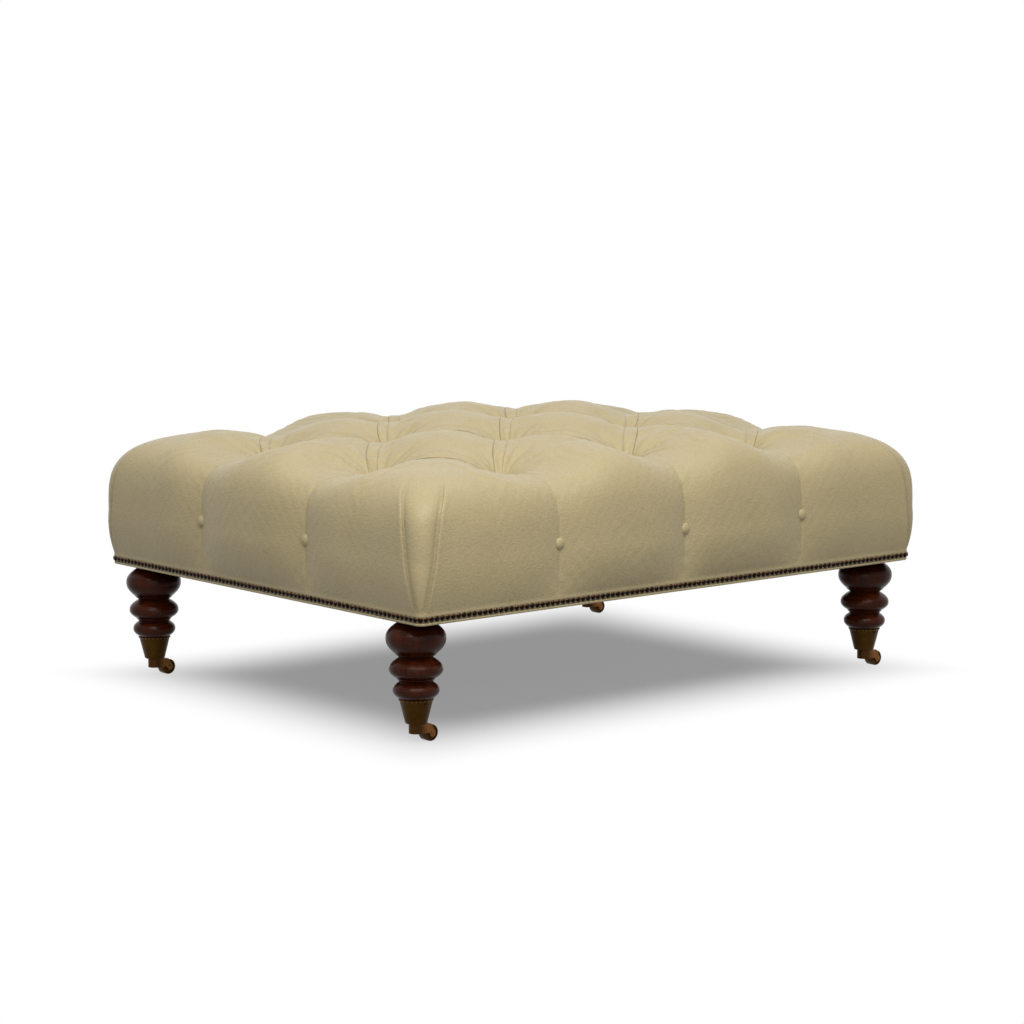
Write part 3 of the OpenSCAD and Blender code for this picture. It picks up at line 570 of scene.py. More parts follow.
class TuftedShape:
    """The cushion's outer surface, in millimetres: a grid over the top and rings down the sides."""

    def __init__(self, sizes, trim, cells):
        mm = {key: getattr(sizes, key) * 1000 for key in setting_names(sizes) if key != "cells"}
        self.mm = mm
        self.frame_z = FRAME_BOTTOM * 1000
        self.cells = cells
        self.col_step = (mm["body_length"] / 2 - mm["tuft_inset"]) / COLUMNS
        self.row_step = (mm["body_width"] / 2 - mm["tuft_inset"]) / ROWS
        self.line_gap = 2 / math.hypot(1 / self.col_step, 1 / self.row_step)
        self.last_x = self.col_step * COLUMNS
        self.last_y = self.row_step * ROWS
        self.buttons = [
            (c * self.col_step, r * self.row_step)
            for c in range(-COLUMNS, COLUMNS + 1)
            for r in range(-ROWS, ROWS + 1)
            if (c + r) % 2 == 0
        ]
        # Each outermost button sends a pleat down its side
        self.front_pleats = [x for x, y in self.buttons if y == self.last_y]
        self.end_pleats = [y for x, y in self.buttons if x == self.last_x]
        self.widest_z = self.frame_z + mm["widest_height"]
        self.hem_z = self.frame_z + trim.welt_diameter * 500 + REST_GAP * 1000
        self.band_top = self.hem_z + mm["band_height"]
        self.side_button_z = self.frame_z + trim.side_button_height * 1000
        self.nail_z = self.frame_z + trim.nail_line * 1000

    def lattice(self, x, y):
        """Places along both diagonals of the buttons' pattern: pleats lie on the whole numbers of each."""
        p, q = x / self.col_step, y / self.row_step
        return (p + q) / 2, (p - q) / 2

    def fold_shift(self, line):
        """How far the leather folds over beside a pleat's line, by the line's number."""
        return np.interp(line, list(FOLD_SHIFT), list(FOLD_SHIFT.values()))

    def crown(self, x, y):
        """Height of the seat without its tufts."""
        mm = self.mm
        along = np.clip(x, -self.last_x, self.last_x) / self.last_x
        across = np.clip(y, -self.last_y, self.last_y) / self.last_y
        spared = mm["crown_corner"] * (along * across) ** 2
        fall = mm["crown_x"] * along**2 + mm["crown_y"] * across**2 - spared
        return self.frame_z + mm["seat_height"] - fall

    def to_button(self, x, y):
        return np.min([np.hypot(x - bx, y - by) for bx, by in self.buttons], axis=0)

    def hollow(self, x, y):
        """Hollows that the buttons pull in."""
        pulls = sum(np.exp(-np.hypot(x - bx, y - by) / self.mm["hollow_reach"]) for bx, by in self.buttons)
        return (self.mm["tuft_depth"] - self.mm["pleat_depth"]) * np.minimum(pulls, 1)

    def groove(self, x, y, share):
        """1 in a pleat and 0 on a hill: round hills on the top, narrow grooves down the sides."""
        a, b = self.lattice(x, y)
        # The valleys of the pleats that run away from the eye lean with their folds
        line, t = np.round(b), a - np.floor(a)
        room = np.minimum(COLUMNS - abs(a + b), ROWS - abs(a - b))
        lean = np.where(line <= 0, VALLEY_SHARE, 0) * self.fold_shift(line) / self.line_gap
        lean = lean * (4 * t * (1 - t)) ** ARCH_POWER * smooth_step(0, 0.35, room)
        b = b - lean * (1 - (2 * (b - line)) ** 2)
        # The distance to each pleat levels off over a hill, and a soft minimum keeps the hill round
        near = [np.maximum(abs(k - np.round(k)), 1e-6) for k in (a, b)]
        near = [k - np.maximum(k - 0.5 + HILL_TOP, 0) ** 2 / (2 * HILL_TOP) for k in near]
        off = (sum(k**-HILL_ROUND for k in near) / 2) ** (-1 / HILL_ROUND) / (0.5 - HILL_TOP / 2)
        # A pleat narrows to a groove on its way down
        return np.maximum(1 - off ** (2 - share**3), 0) ** (1 + 1.29 * share**4)

    def pleat_sink(self, share, side_bulge):
        """Depth of a pleat on its way out: it sags over the shoulder and ends near the bottom edge."""
        mm = self.mm
        ending = (side_bulge - mm["side_pleat"] - mm["pleat_depth"]) * share**2
        return mm["pleat_depth"] + ending + mm["shoulder_sag"] * SAG_PEAK * share * (1 - share**2)

    def bulge(self, share):
        """How far a side stands out, from its middle at 0 to its last button at 1."""
        mm = self.mm
        return mm["side_bulge"] + (mm["corner_bulge"] - mm["side_bulge"]) * share**2

    def away(self, along, pleats):
        """Signed distance to the nearest pleat of a side."""
        gaps = np.array([along - p for p in pleats])
        return np.take_along_axis(gaps, np.argmin(abs(gaps), axis=0)[None], 0)[0]

    def build(self):
        """Works out every point, in mm, and what the folds need to know about it."""
        mm, cells = self.mm, self.cells
        nx, ny = COLUMNS * cells, ROWS * cells
        stations = round(cells * GRID_STATIONS)
        gx, gy = nx + stations, ny + stations
        self.size = (gx, gy, nx, ny)
        # The stations close up towards the edge
        step = np.arange(stations + 1) / stations
        out = GRID_EDGE * (0.57 * step + 0.43 * (1 - (1 - step) ** 2))

        # Top grid
        i, j = np.meshgrid(np.arange(-gx, gx + 1), np.arange(-gy, gy + 1), indexing="ij")
        i, j = i.ravel(), j.ravel()
        u = out[np.clip(abs(i) - nx, 0, stations)]
        v = out[np.clip(abs(j) - ny, 0, stations)]
        placed = [self.place(i, j, u, v, np.maximum(u, v))]

        # Edge of the top grid, counter-clockwise from its left front corner
        edge = (
            [(k, -gy) for k in range(-gx, gx)]
            + [(gx, k) for k in range(-gy, gy)]
            + [(k, gy) for k in range(gx, -gx, -1)]
            + [(-gx, k) for k in range(gy, -gy, -1)]
        )
        self.edge = np.array(edge)
        # Rings: share of the way out, how much of the bulge they keep, corner radius, height, share of rise
        rings = []
        shoulder = max(3, round(cells * SHOULDER_RINGS))
        for k in range(1, shoulder + 1):
            fall = (1 - GRID_EDGE**SHOULDER_POWER) ** (1 / SHOULDER_POWER) * (1 - k / shoulder)
            s = (1 - fall**SHOULDER_POWER) ** (1 / SHOULDER_POWER)
            w = s * s
            radius = (1 - w) * mm["tuft_inset"] * s + w * mm["corner_radius"]
            rings.append((s, 1.0, radius, self.widest_z, fall))
        under = max(3, round(cells * SIDE_RINGS))
        for k in range(1, under + 1):
            w = k / under
            radius = mm["corner_radius"] + (mm["band_radius"] - mm["corner_radius"]) * w
            rings.append((1.0, 1 - w * w, radius, self.widest_z + (self.band_top - self.widest_z) * w, 0.0))
        for k in range(1, BAND_RINGS + 1):
            level = self.band_top - mm["band_height"] * k / BAND_RINGS
            rings.append((1.0, 0.0, mm["band_radius"], level, 0.0))
        self.rings = rings
        eu = out[np.clip(abs(self.edge[:, 0]) - nx, 0, stations)] / GRID_EDGE
        ev = out[np.clip(abs(self.edge[:, 1]) - ny, 0, stations)] / GRID_EDGE
        for s, *ring in rings:
            placed.append(self.place(*self.edge.T, eu * s, ev * s, np.full(len(self.edge), s), *ring))
        self.points = np.concatenate([points for points, _ in placed])
        self.facts = {key: np.concatenate([facts[key] for _, facts in placed]) for key in placed[0][1]}
        return self.points

    def place(self, i, j, u, v, share, held=1.0, radius=None, level=None, fall=None):
        """Points for grid places, with what the folds need to know about each. A ring has its height."""
        mm = self.mm
        gx, gy, nx, ny = self.size
        bx = np.clip(i, -nx, nx) * self.col_step / self.cells
        by = np.clip(j, -ny, ny) * self.row_step / self.cells
        sx, sy = np.sign(i), np.sign(j)
        safe = np.maximum(share, 1e-9)
        is_top = level is None
        bulge_x, bulge_y = self.bulge(abs(by) / self.last_y), self.bulge(abs(bx) / self.last_x)
        rise_to = self.crown(bx, by) - self.widest_z
        if is_top:
            fall = (1 - share**SHOULDER_POWER) ** (1 / SHOULDER_POWER)
            z = self.widest_z + rise_to * fall
            w = share * share
            radius = (1 - w) * mm["tuft_inset"] * share + w * mm["corner_radius"]
        else:
            z = level + rise_to * fall
        # A pleat sinks along the shoulder's normal, from the outer button down to the widest line
        depth = self.pleat_sink(share, np.where(v > u, bulge_y, bulge_x)) * self.groove(bx, by, share)
        out, up = share ** (SHOULDER_POWER - 1) / mm["tuft_inset"], fall ** (SHOULDER_POWER - 1) / rise_to
        tilt = np.hypot(out, up)
        inward = depth * held * out / tilt
        z = z - depth * held * up / tilt
        ax = (mm["tuft_inset"] + bulge_x * held) * share - inward * (u > v)
        ay = (mm["tuft_inset"] + bulge_y * held) * share - inward * (v > u)
        if is_top:
            radius = np.minimum(radius, np.minimum(ax, ay))
        un, vn = u / safe, v / safe
        dx, dy = un * ax - (ax - radius), vn * ay - (ay - radius)
        turn = (dx > 0) & (dy > 0)
        d = np.maximum(np.hypot(dx, dy), 1e-6)
        ox = np.where(turn, ax - radius + radius * dx / d, un * ax)
        oy = np.where(turn, ay - radius + radius * dy / d, vn * ay)
        # Signed run round the corner from its diagonal, positive on the long sides
        quarter = radius * math.pi / 4
        run = np.where(
            turn,
            radius * (np.arctan2(dy, dx) - math.pi / 4),
            np.where(vn >= un, quarter - dx, -(quarter - dy)),
        )
        x, y = bx + sx * ox, by + sy * oy
        if is_top:
            z = z - self.hollow(x, y) * (1 - share**3)
        beside_end = np.where((u > 0) & (v == 0), self.away(by, self.end_pleats), NO_PLEAT)
        facts = dict(
            band=np.full(len(i), float(held == 0)),
            share=share,
            run=run,
            gap=np.where((v > 0) & (u == 0), self.away(bx, self.front_pleats), beside_end),
            level=z,
            corner=((u > 0) | (v > 0)) * 1.0,
            diagonal=np.minimum(u, v),
        )
        return np.stack([x, y, z], 1), facts

    def faces(self):
        """Triangles of the top, split along its pleats, quads of the sides, and the hem's points."""
        gx, gy, nx, ny = self.size
        rows = 2 * gy + 1
        i, j = np.meshgrid(np.arange(-gx, gx), np.arange(-gy, gy), indexing="ij")
        i, j = i.ravel(), j.ravel()

        def at(a, b):
            return (a + gx) * rows + b + gy

        c = np.floor(np.clip(i + 0.5, -nx + 0.5, nx - 0.5) / self.cells)
        r = np.floor(np.clip(j + 0.5, -ny + 0.5, ny - 0.5) / self.cells)
        rising = ((c + r) % 2 == 0)[:, None]
        p, q, s, t = at(i, j), at(i + 1, j), at(i + 1, j + 1), at(i, j + 1)
        first = np.where(rising, np.stack([p, q, s], 1), np.stack([p, q, t], 1))
        second = np.where(rising, np.stack([p, s, t], 1), np.stack([q, s, t], 1))
        tris = np.concatenate([first, second])
        n = len(self.edge)
        top_n = (2 * gx + 1) * rows
        grid = [at(self.edge[:, 0], self.edge[:, 1])]
        for k in range(len(self.rings)):
            grid.append(top_n + k * n + np.arange(n))
        quads = []
        for up, down in zip(grid, grid[1:]):
            quads.append(np.stack([up, down, np.roll(down, -1), np.roll(up, -1)], 1))
        return tris, np.concatenate(quads), grid[-1]


def vertex_normals(points, tris, quads):
    """Normals of the outer surface."""
    all_tris = np.concatenate([tris, quads[:, [0, 1, 2]], quads[:, [0, 2, 3]]])
    a, b, c = (points[all_tris[:, k]] for k in range(3))
    face = np.cross(b - a, c - a)
    total = np.zeros_like(points)
    for k in range(3):
        for axis in range(3):
            total[:, axis] += np.bincount(all_tris[:, k], face[:, axis], len(points))
    return total / np.maximum(np.linalg.norm(total, axis=1), 1e-9)[:, None]


def switch(e):
    """0 well below zero, 1 well above it."""
    return 1 / (1 + np.exp(-np.clip(e, -40, 40)))


def ridge(e, edge, fade):
    """A fold's edge at e = 0: proud on the positive side, dropping away on the negative one."""
    return switch(e / edge) * np.exp(-np.maximum(e, 0) / fade)


def crease(e):
    return np.exp(-abs(e) / CREASE_WIDTH)


def pleat_folds(shape, a, b, inside, seed, shifted):
    """Height of the folds beside the pleats on whole numbers of a, and the distances to both creases."""
    line, seg = np.round(a), np.floor(b)
    d = (a - line) * shape.line_gap
    t = b - seg
    arch = (4 * t * (1 - t)) ** ARCH_POWER
    table = np.random.default_rng(seed).uniform(-1, 1, (16, 16, 8))
    pick = table[(line + 8).astype(int) % 16, (seg + 8).astype(int) % 16]
    shown = inside * (1 - smooth_step(*FOLD_REACH, abs(d)))
    # The flap lies from the main crease towards the middle of the seat
    lay = np.where(line <= 0, 1, -1) if shifted else 1
    shift = shape.fold_shift(line) if shifted else 0
    main = (d - shift * arch) * lay - 0.8 * np.sin(7 * t + 5 * pick[:, 2]) * arch
    second = main - (FOLD_GAP + 3 * pick[:, 0] + 1.2 * np.sin(9 * t + 6 * pick[:, 1])) * arch
    height = 0.75 * ridge(main, 1.0, 13) - 0.9 * crease(main)
    height += (0.45 + 0.15 * pick[:, 4]) * (ridge(second, 1.3, 15) - 0.8 * crease(second))
    # The folds run out at the buttons
    height *= shape.mm["fold_height"] * shown * smooth_step(0.0, 0.07, np.minimum(t, 1 - t) + 0.02)
    return height, main, second, shown * np.sqrt(arch)


def fan_folds(shape, x, y):
    """Short soft folds that fan out of each button, between its pleats."""
    rng = np.random.default_rng(47)
    total, shade = np.zeros(len(x)), np.zeros(len(x))
    pleat = math.atan2(shape.row_step, shape.col_step)
    sectors = [(-pleat, pleat), (pleat, math.pi - pleat)]
    sectors += [(a + math.pi, b + math.pi) for a, b in sectors]
    for bx, by in shape.buttons:
        near = np.flatnonzero(np.hypot(x - bx, y - by) < FAN_REACH[1] + 5)
        dx, dy = x[near] - bx, y[near] - by
        r = np.hypot(dx, dy)
        for low, high in sectors:
            for k in range(FANS):
                spot = low + (high - low) * (0.15 + 0.22 * k + rng.uniform(-0.06, 0.06))
                bend, reach = rng.uniform(-0.12, 0.12), rng.uniform(*FAN_REACH)
                size, side = rng.uniform(0.35, 1.0), rng.choice((-1, 1))
                turn = (np.arctan2(dy, dx) - spot + math.pi) % (2 * math.pi) - math.pi
                e = r * turn + bend * r * r / 100
                shown = size * smooth_step(5, 16, r) * (1 - smooth_step(0.45 * reach, reach, r))
                shown = np.where(abs(turn) < 0.8, shown, 0)
                total[near] += shown * (0.9 * ridge(e * side, 1.5, 8) - 1.3 * crease(e))
                # Painted shade along each fold's crease
                shade[near] = np.maximum(shade[near], shown * np.exp(-((e / CREASE_WIDTH) ** 2)))
    return shape.mm["fold_height"] * total, shade


def cushion_detail(shape):
    """Heights of the folds over the smooth surface, and the crease distances that the finish reads."""
    mm = shape.mm
    points, f = shape.points, shape.facts
    x, y = points[:, 0], points[:, 1]
    a, b = shape.lattice(x, y)
    outside = np.maximum(abs(x) - shape.last_x, abs(y) - shape.last_y)
    inside = 1 - smooth_step(2, 26, outside)
    inside = np.where(f["share"] > 0.9, 0, inside)
    height_a, main_a, second_a, shown_a = pleat_folds(shape, a, b, inside, 11, False)
    height_b, main_b, second_b, shown_b = pleat_folds(shape, b, a, inside, 29, True)
    fans, fan_shade = fan_folds(shape, x, y)
    on_top = np.where(f["share"] > 0.7, 0, 1)
    height = height_a + height_b + fans * on_top

    # Pleats over the shoulder and down the sides: faint lines in broad valleys
    gap, share, level = f["gap"], f["share"], f["level"]
    begin = smooth_step(0.02, 0.2, share)
    down = smooth_step(shape.band_top - 2, shape.band_top + 26, level)
    shown = begin * (0.3 + 0.7 * down) * (abs(gap) < 90)
    height += mm["fold_height"] * shown * (0.2 * ridge(gap, 0.9, 10) - 0.35 * np.exp(-abs(gap) / 2.2))

    # Box pleats at the corners: a tongue that narrows to the nails between two folds
    half = np.interp(level, TONGUE_HEIGHTS, TONGUE_HALF_WIDTHS)
    tongue = abs(f["run"]) - half
    fade = 1 - smooth_step(414, 441, level)
    fade = fade * smooth_step(shape.band_top - 3, shape.band_top + 8, level) * (share > 0.3) * f["corner"]
    within = np.clip(1 + tongue / np.maximum(half, 1), 0, 1)
    depth = mm["tongue_depth"] * np.minimum(1, half / 20)
    lip = 0.3 * depth * ridge(tongue, 0.8, 6.0)
    height += fade * (lip - depth * within**2 * switch(-tongue))

    def channel(*values):
        return np.stack([np.broadcast_to(v, len(x)) for v in values], 1)

    # What the finish reads: the distances to two creases, and how much of them shows, in bumps and in
    # painted shade
    folds = {
        "pleat_a": channel(main_a, second_a, shown_a),
        "pleat_b": channel(main_b, second_b, shown_b),
        "side_pleat": channel(np.where(shown > 0, gap, NO_CREASE), NO_CREASE, shown),
        "tongue": channel(tongue, tongue + 5, fade),
        # Painted shade on the leather between the nails
        "nail_line": channel(level - shape.nail_z, NO_CREASE, f["band"]),
        "fans": channel(NO_CREASE, NO_CREASE, fan_shade * on_top),
    }
    # Slow unevenness of the stuffing
    wobble = (
        0.9 * np.sin(x / 61 + 1.3) * np.sin(y / 53 + 0.4)
        + 0.7 * np.sin(x / 34 - y / 47 + 2.1)
        + 0.5 * np.sin(x / 87 + y / 29)
    )
    near_button = np.clip(shape.to_button(x, y) / 60, 0, 1)
    height += wobble * (1 - smooth_step(0.97, 1.0, share)) * near_button * 0.8
    return height, folds


def simulated_slack(sizes, trim, cells):
    """Runs the leather as cloth over its padding, on a coarse shape, and gives its points' moves in mm."""
    shape = TuftedShape(sizes, trim, cells)
    points = shape.build()
    tris, quads, _ = shape.faces()
    mesh = bpy.data.meshes.new("slack_leather")
    mesh.from_pydata((points / 1000).tolist(), [], tris.tolist() + quads.tolist())
    obj = bpy.data.objects.new("slack_leather", mesh)
    bpy.context.collection.objects.link(obj)
    # The twine holds the leather at the buttons and along the pleats, and the nails hold it at the band
    f = shape.facts
    a, b = shape.lattice(points[:, 0], points[:, 1])
    off = np.minimum(abs(a - np.round(a)), abs(b - np.round(b))) * shape.line_gap
    on_top = f["share"] < 0.25
    held = np.where(on_top, 0.9 * np.exp(-((off / 9) ** 2)), 0.8 * np.exp(-((f["gap"] / 9) ** 2)))
    held = np.maximum(held, 1 - smooth_step(14, 26, shape.to_button(points[:, 0], points[:, 1])))
    # It is drawn tight over the shoulder and down the sides
    held = np.maximum(held, 0.93 * smooth_step(0.1, 0.55, f["share"]))
    held = np.where((f["band"] > 0) | (f["level"] < shape.band_top + 4), 1.0, np.clip(held, 0, 1))
    group = obj.vertex_groups.new(name="held")
    for index, weight in enumerate(held.tolist()):
        if weight > 0.02:
            group.add([index], weight, "REPLACE")
    select_only(obj)
    cloth = obj.modifiers.new("Leather", "CLOTH")
    stuff = cloth.settings
    stuff.vertex_group_mass = "held"
    stuff.quality = 6
    stuff.mass = 0.3
    stuff.tension_stiffness = stuff.compression_stiffness = 25
    stuff.shear_stiffness = 8
    stuff.bending_stiffness = 1.5
    stuff.use_pressure = True
    stuff.uniform_pressure_force = SLACK_PRESSURE
    stuff.shrink_min = -SLACK_GROWTH
    stuff.effector_weights.gravity = 0
    cloth.collision_settings.use_collision = False
    cloth.point_cache.frame_end = SLACK_FRAMES
    scene = bpy.context.scene
    for frame_number in range(1, SLACK_FRAMES + 1):
        scene.frame_set(frame_number)
    bpy.ops.object.modifier_apply(modifier=cloth.name)
    moved = np.empty(len(points) * 3, np.float32)
    obj.data.vertices.foreach_get("co", moved)
    moved = moved.reshape(-1, 3) * 1000 - points
    scene.frame_set(1)
    remove(obj)
    far = np.linalg.norm(moved, axis=1)
    # The box pleats keep the leather flat at the corners
    kept = np.minimum(1, SLACK_CAP / np.maximum(far, 1e-6)) * (1 - smooth_step(0.02, 0.3, f["diagonal"]))
    return shape, moved * kept[:, None]


def finer(grid, times, wrap=False):
    """A grid's values on a grid that is several times as fine along its first axis, smoothed."""
    n = len(grid)
    count = n * times if wrap else (n - 1) * times + 1
    at = np.arange(count) / times
    low = np.floor(at).astype(int)
    share = (at - low).reshape((-1,) + (1,) * (grid.ndim - 1))
    high = (low + 1) % n if wrap else np.minimum(low + 1, n - 1)
    made = grid[low] * (1 - share) + grid[high] * share
    for _ in range(times - 1):
        padded = np.concatenate([made[-1:], made, made[:1]] if wrap else [made[:1], made, made[-1:]])
        made = (padded[:-2] + 2 * padded[1:-1] + padded[2:]) / 4
    return made


def slack_on(shape, coarse, moved):
    """The coarse shape's moves, on the points of the fine one."""
    times = shape.cells // coarse.cells
    gx, gy = coarse.size[0], coarse.size[1]
    count = (2 * gx + 1) * (2 * gy + 1)
    top = moved[:count].reshape(2 * gx + 1, 2 * gy + 1, 3)
    fine_top = finer(finer(top, times).transpose(1, 0, 2), times).transpose(1, 0, 2)
    rings = moved[count:].reshape(len(coarse.rings), len(coarse.edge), 3)[:-BAND_RINGS]
    edge = top[coarse.edge[:, 0] + gx, coarse.edge[:, 1] + gy][None]
    fine_rings = finer(np.concatenate([edge, rings]), times)[1:]
    fine_rings = finer(fine_rings.transpose(1, 0, 2), times, wrap=True).transpose(1, 0, 2)
    still = np.zeros((BAND_RINGS * len(shape.edge), 3))
    return np.concatenate([fine_top.reshape(-1, 3), fine_rings.reshape(-1, 3), still])


class OTTOMAN_OT_cushion(bpy.types.Operator):
    """Makes the tufted leather cushion"""

    bl_idname = "ottoman.cushion"
    bl_label = "Make the cushion"

    def execute(self, context):
        sizes, trim = context.scene.ottoman_cushion, context.scene.ottoman_trim
        shape = TuftedShape(sizes, trim, sizes.cells)
        points = shape.build()
        tris, quads, hem = shape.faces()
        normals = vertex_normals(points, tris, quads)
        height, folds = cushion_detail(shape)
        points = points + slack_on(shape, *simulated_slack(sizes, trim, shape.cells // SLACK_COARSER))
        points = points + normals * height[:, None]

        # Hem, inner wall and cap close the form over the frame
        inner = shape.points[hem]
        reach = np.array(RAIL_REACH) * 1000
        inner[:, :2] = np.clip(inner[:, :2], -reach, reach)
        roof = inner.copy()
        roof[:, 2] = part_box("foam_core")[1].z * 1000
        low = len(points) + np.arange(len(hem))
        high = low + len(hem)
        points = np.concatenate([points, inner, roof])
        faces = tris.tolist() + quads.tolist()
        for first, next_one in ((hem, low), (low, high)):
            wall = [first, next_one, np.roll(next_one, -1), np.roll(first, -1)]
            faces += np.stack(wall, 1).tolist()
        faces.append(high[::-1].tolist())
        mesh = bpy.data.meshes.new("cushion")
        mesh.from_pydata((points / 1000).tolist(), [], faces)
        mesh.update()
        for name, values in folds.items():
            layer = mesh.attributes.new(name, "FLOAT_VECTOR", "POINT")
            full = np.tile((NO_CREASE, NO_CREASE, 0.0), (len(points), 1))
            full[: len(values)] = values
            layer.data.foreach_set("vector", full.astype(np.float32).ravel())
        obj = bpy.data.objects.new("cushion", mesh)
        context.collection.objects.link(obj)
        smooth(obj)
        finish_piece(obj, cowhide("pigmented_cowhide", folds=True), "root", "leather", "leather_cover")
        return {"FINISHED"}


class OTTOMAN_OT_buttons(bpy.types.Operator):
    """Makes the covered buttons of the top and the sides"""

    bl_idname = "ottoman.buttons"
    bl_label = "Make the buttons"

    def execute(self, context):
        sizes, trim = context.scene.ottoman_cushion, context.scene.ottoman_trim
        shape = TuftedShape(sizes, trim, sizes.cells)
        half = trim.button_diameter / 2
        deselect()
        bpy.ops.mesh.primitive_uv_sphere_add(segments=32, ring_count=16, radius=half)
        button = bpy.context.object
        # The back is flat and the face a shallow dome with a rolled edge
        select_parts(button, verts=lambda co: co.z < -0.0001)
        bpy.ops.transform.resize(value=(0.96, 0.96, 0.12), center_override=(0, 0, 0))
        select_parts(button, verts=lambda co: co.z > 0.0001)
        bpy.ops.transform.resize(value=(1, 1, trim.button_thickness / half), center_override=(0, 0, 0))
        leave_edit()
        top, side = [], []
        for x, y in shape.buttons:
            z = shape.crown(x, y) - shape.mm["tuft_depth"]
            top.append(copy_to(button, "button", (x / 1000, y / 1000, float(z) / 1000)))
        z = shape.side_button_z / 1000
        for x in shape.front_pleats:
            for s in (-1, 1):
                spot = (x / 1000, s * (sizes.body_width / 2 + sizes.side_pleat), z)
                side.append(copy_to(button, "button", spot, spin(-s * math.pi / 2, "X")))
        for y in shape.end_pleats:
            for s in (-1, 1):
                spot = (s * (sizes.body_length / 2 + sizes.side_pleat), y / 1000, z)
                side.append(copy_to(button, "button", spot, spin(s * math.pi / 2, "Y")))
        remove(button)
        hide = cowhide("button_cowhide")
        for name, parts in (("top_button_set", top), ("side_button_set", side)):
            piece = join(name, parts)
            smooth(piece)
            finish_piece(piece, hide, "root", "leather", name.replace("_button_set", "_buttons"))
        return {"FINISHED"}


class OTTOMAN_OT_welt(bpy.types.Operator):
    """Makes the leather welt along the bottom edge"""

    bl_idname = "ottoman.welt"
    bl_label = "Make the welt"

    def execute(self, context):
        sizes, trim = context.scene.ottoman_cushion, context.scene.ottoman_trim
        r = trim.welt_diameter / 2
        bend = sizes.band_radius
        deselect()
        bpy.ops.mesh.primitive_torus_add(
            major_segments=96,
            minor_segments=16,
            major_radius=bend - r,
            minor_radius=r,
            location=(0, 0, FRAME_BOTTOM - REST_GAP),
        )
        welt = bpy.context.object
        settle(welt)
        # The ring's quarters move apart to the corners
        eps = 1e-6
        shifts = sizes.body_length / 2 - bend, sizes.body_width / 2 - bend
        for axis, shift in enumerate(shifts):
            for s in (-1, 1):
                select_parts(welt, verts=lambda co: co[axis] * s > eps or (s > 0 and abs(co[axis]) <= eps))
                move = [0, 0, 0]
                move[axis] = s * shift
                bpy.ops.transform.translate(value=move)
                leave_edit()
        # The long runs are cut about every 20 mm
        for axis, shift in enumerate(shifts):
            reach = shift + bend
            count = int(reach * 2 / 0.02)
            for k in range(1, count):
                spot = -reach + k * 2 * reach / count
                if abs(spot) > shift:
                    continue
                edit(welt)
                where, normal = [0, 0, 0], [0, 0, 0]
                where[axis], normal[axis] = spot, 1
                bpy.ops.mesh.bisect(plane_co=where, plane_no=normal)
                leave_edit()
        welt.name = welt.data.name = "leather_welt"
        smooth(welt)
        finish_piece(welt, cowhide("welt_cowhide"), "root", "leather", "welt")
        return {"FINISHED"}


class OTTOMAN_OT_nails(bpy.types.Operator):
    """Makes the four rows of domed nail heads"""

    bl_idname = "ottoman.nails"
    bl_label = "Make the nails"

    def execute(self, context):
        sizes, trim = context.scene.ottoman_cushion, context.scene.ottoman_trim
        look = context.scene.ottoman_finish
        # The nail heads carry a painted highlight on their upper rims
        bronze = antiqued_metal(
            "antiqued_bronze_nails", look.nail_bronze, 2.2, 0.22, 11.1, "painted_highlight_rim", look.nail_painted_highlight
        )
        r = trim.nail_diameter / 2
        deselect()
        bpy.ops.mesh.primitive_uv_sphere_add(segments=12, ring_count=8, radius=r)
        nail = bpy.context.object
        # Only the dome stays, closed flat at the back
        select_parts(nail, verts=lambda co: co.z < -1e-5)
        bpy.ops.mesh.delete(type="VERT")
        select_parts(nail, verts=lambda co: True)
        bpy.ops.transform.resize(value=(1, 1, trim.nail_height / r), center_override=(0, 0, 0))
        bpy.ops.mesh.select_all(action="DESELECT")
        bpy.ops.mesh.select_non_manifold()
        bpy.ops.mesh.edge_face_add()
        leave_edit()
        # Painted highlight on the upper rim, stronger on some heads than on others
        nail.data.attributes.new("painted_highlight_rim", "FLOAT", "POINT")
        up = np.array([v.co.y / r for v in nail.data.vertices])
        painted_glint = smooth_step(0.35, 1.0, up).astype(np.float32)
        nail_z = FRAME_BOTTOM + trim.nail_line
        rng = np.random.default_rng(5)
        half_l, half_w = sizes.body_length / 2, sizes.body_width / 2
        for name, run, out, turn in (
            ("front", sizes.body_length, half_w, 0),
            ("back", sizes.body_length, half_w, 180),
            ("left", sizes.body_width, half_l, -90),
            ("right", sizes.body_width, half_l, 90),
        ):
            flat = run - 2 * sizes.band_radius
            count = int(flat / trim.nail_pitch)
            around, face = spin(math.radians(turn), "Z"), spin(math.pi / 2, "X")
            spots = [
                Matrix.Translation(((k / count - 0.5) * flat, -out - REST_GAP, nail_z))
                for k in range(count + 1)
            ]
            # One more nail stands on the corner at the row's end
            corner = Matrix.Translation((flat / 2, sizes.band_radius - out, nail_z))
            outward = Matrix.Translation((0, -sizes.band_radius - REST_GAP, 0))
            spots.append(corner @ spin(math.pi / 4, "Z") @ outward)
            heads = []
            for spot in spots:
                # Each head leans a little its own way, as hammered nails do
                lean = spin(rng.uniform(-0.07, 0.07), "X") @ spin(rng.uniform(-0.07, 0.07), "Y")
                head = copy_to(nail, "head", turn=around @ spot @ face @ lean)
                head.data.attributes["painted_highlight_rim"].data.foreach_set("value", painted_glint * rng.uniform(0.1, 1.0))
                heads.append(head)
            piece = join("nail_row_" + name, heads)
            smooth(piece, 60)
            finish_piece(piece, bronze, "root", "nail_brass", "nails_" + name)
        remove(nail)
        return {"FINISHED"}


# ---- Legs and casters -------------------------------------------------------

# Thickness of the cups' walls and floors
CUP_WALL = 0.0018
CUP_FLOOR = 0.003
# Beads round a cup's rim, their radius, and how far below the rim the screws sit
RIM_BEADS = 24
BEAD_R = 0.00125
SCREW_DROP = 0.007
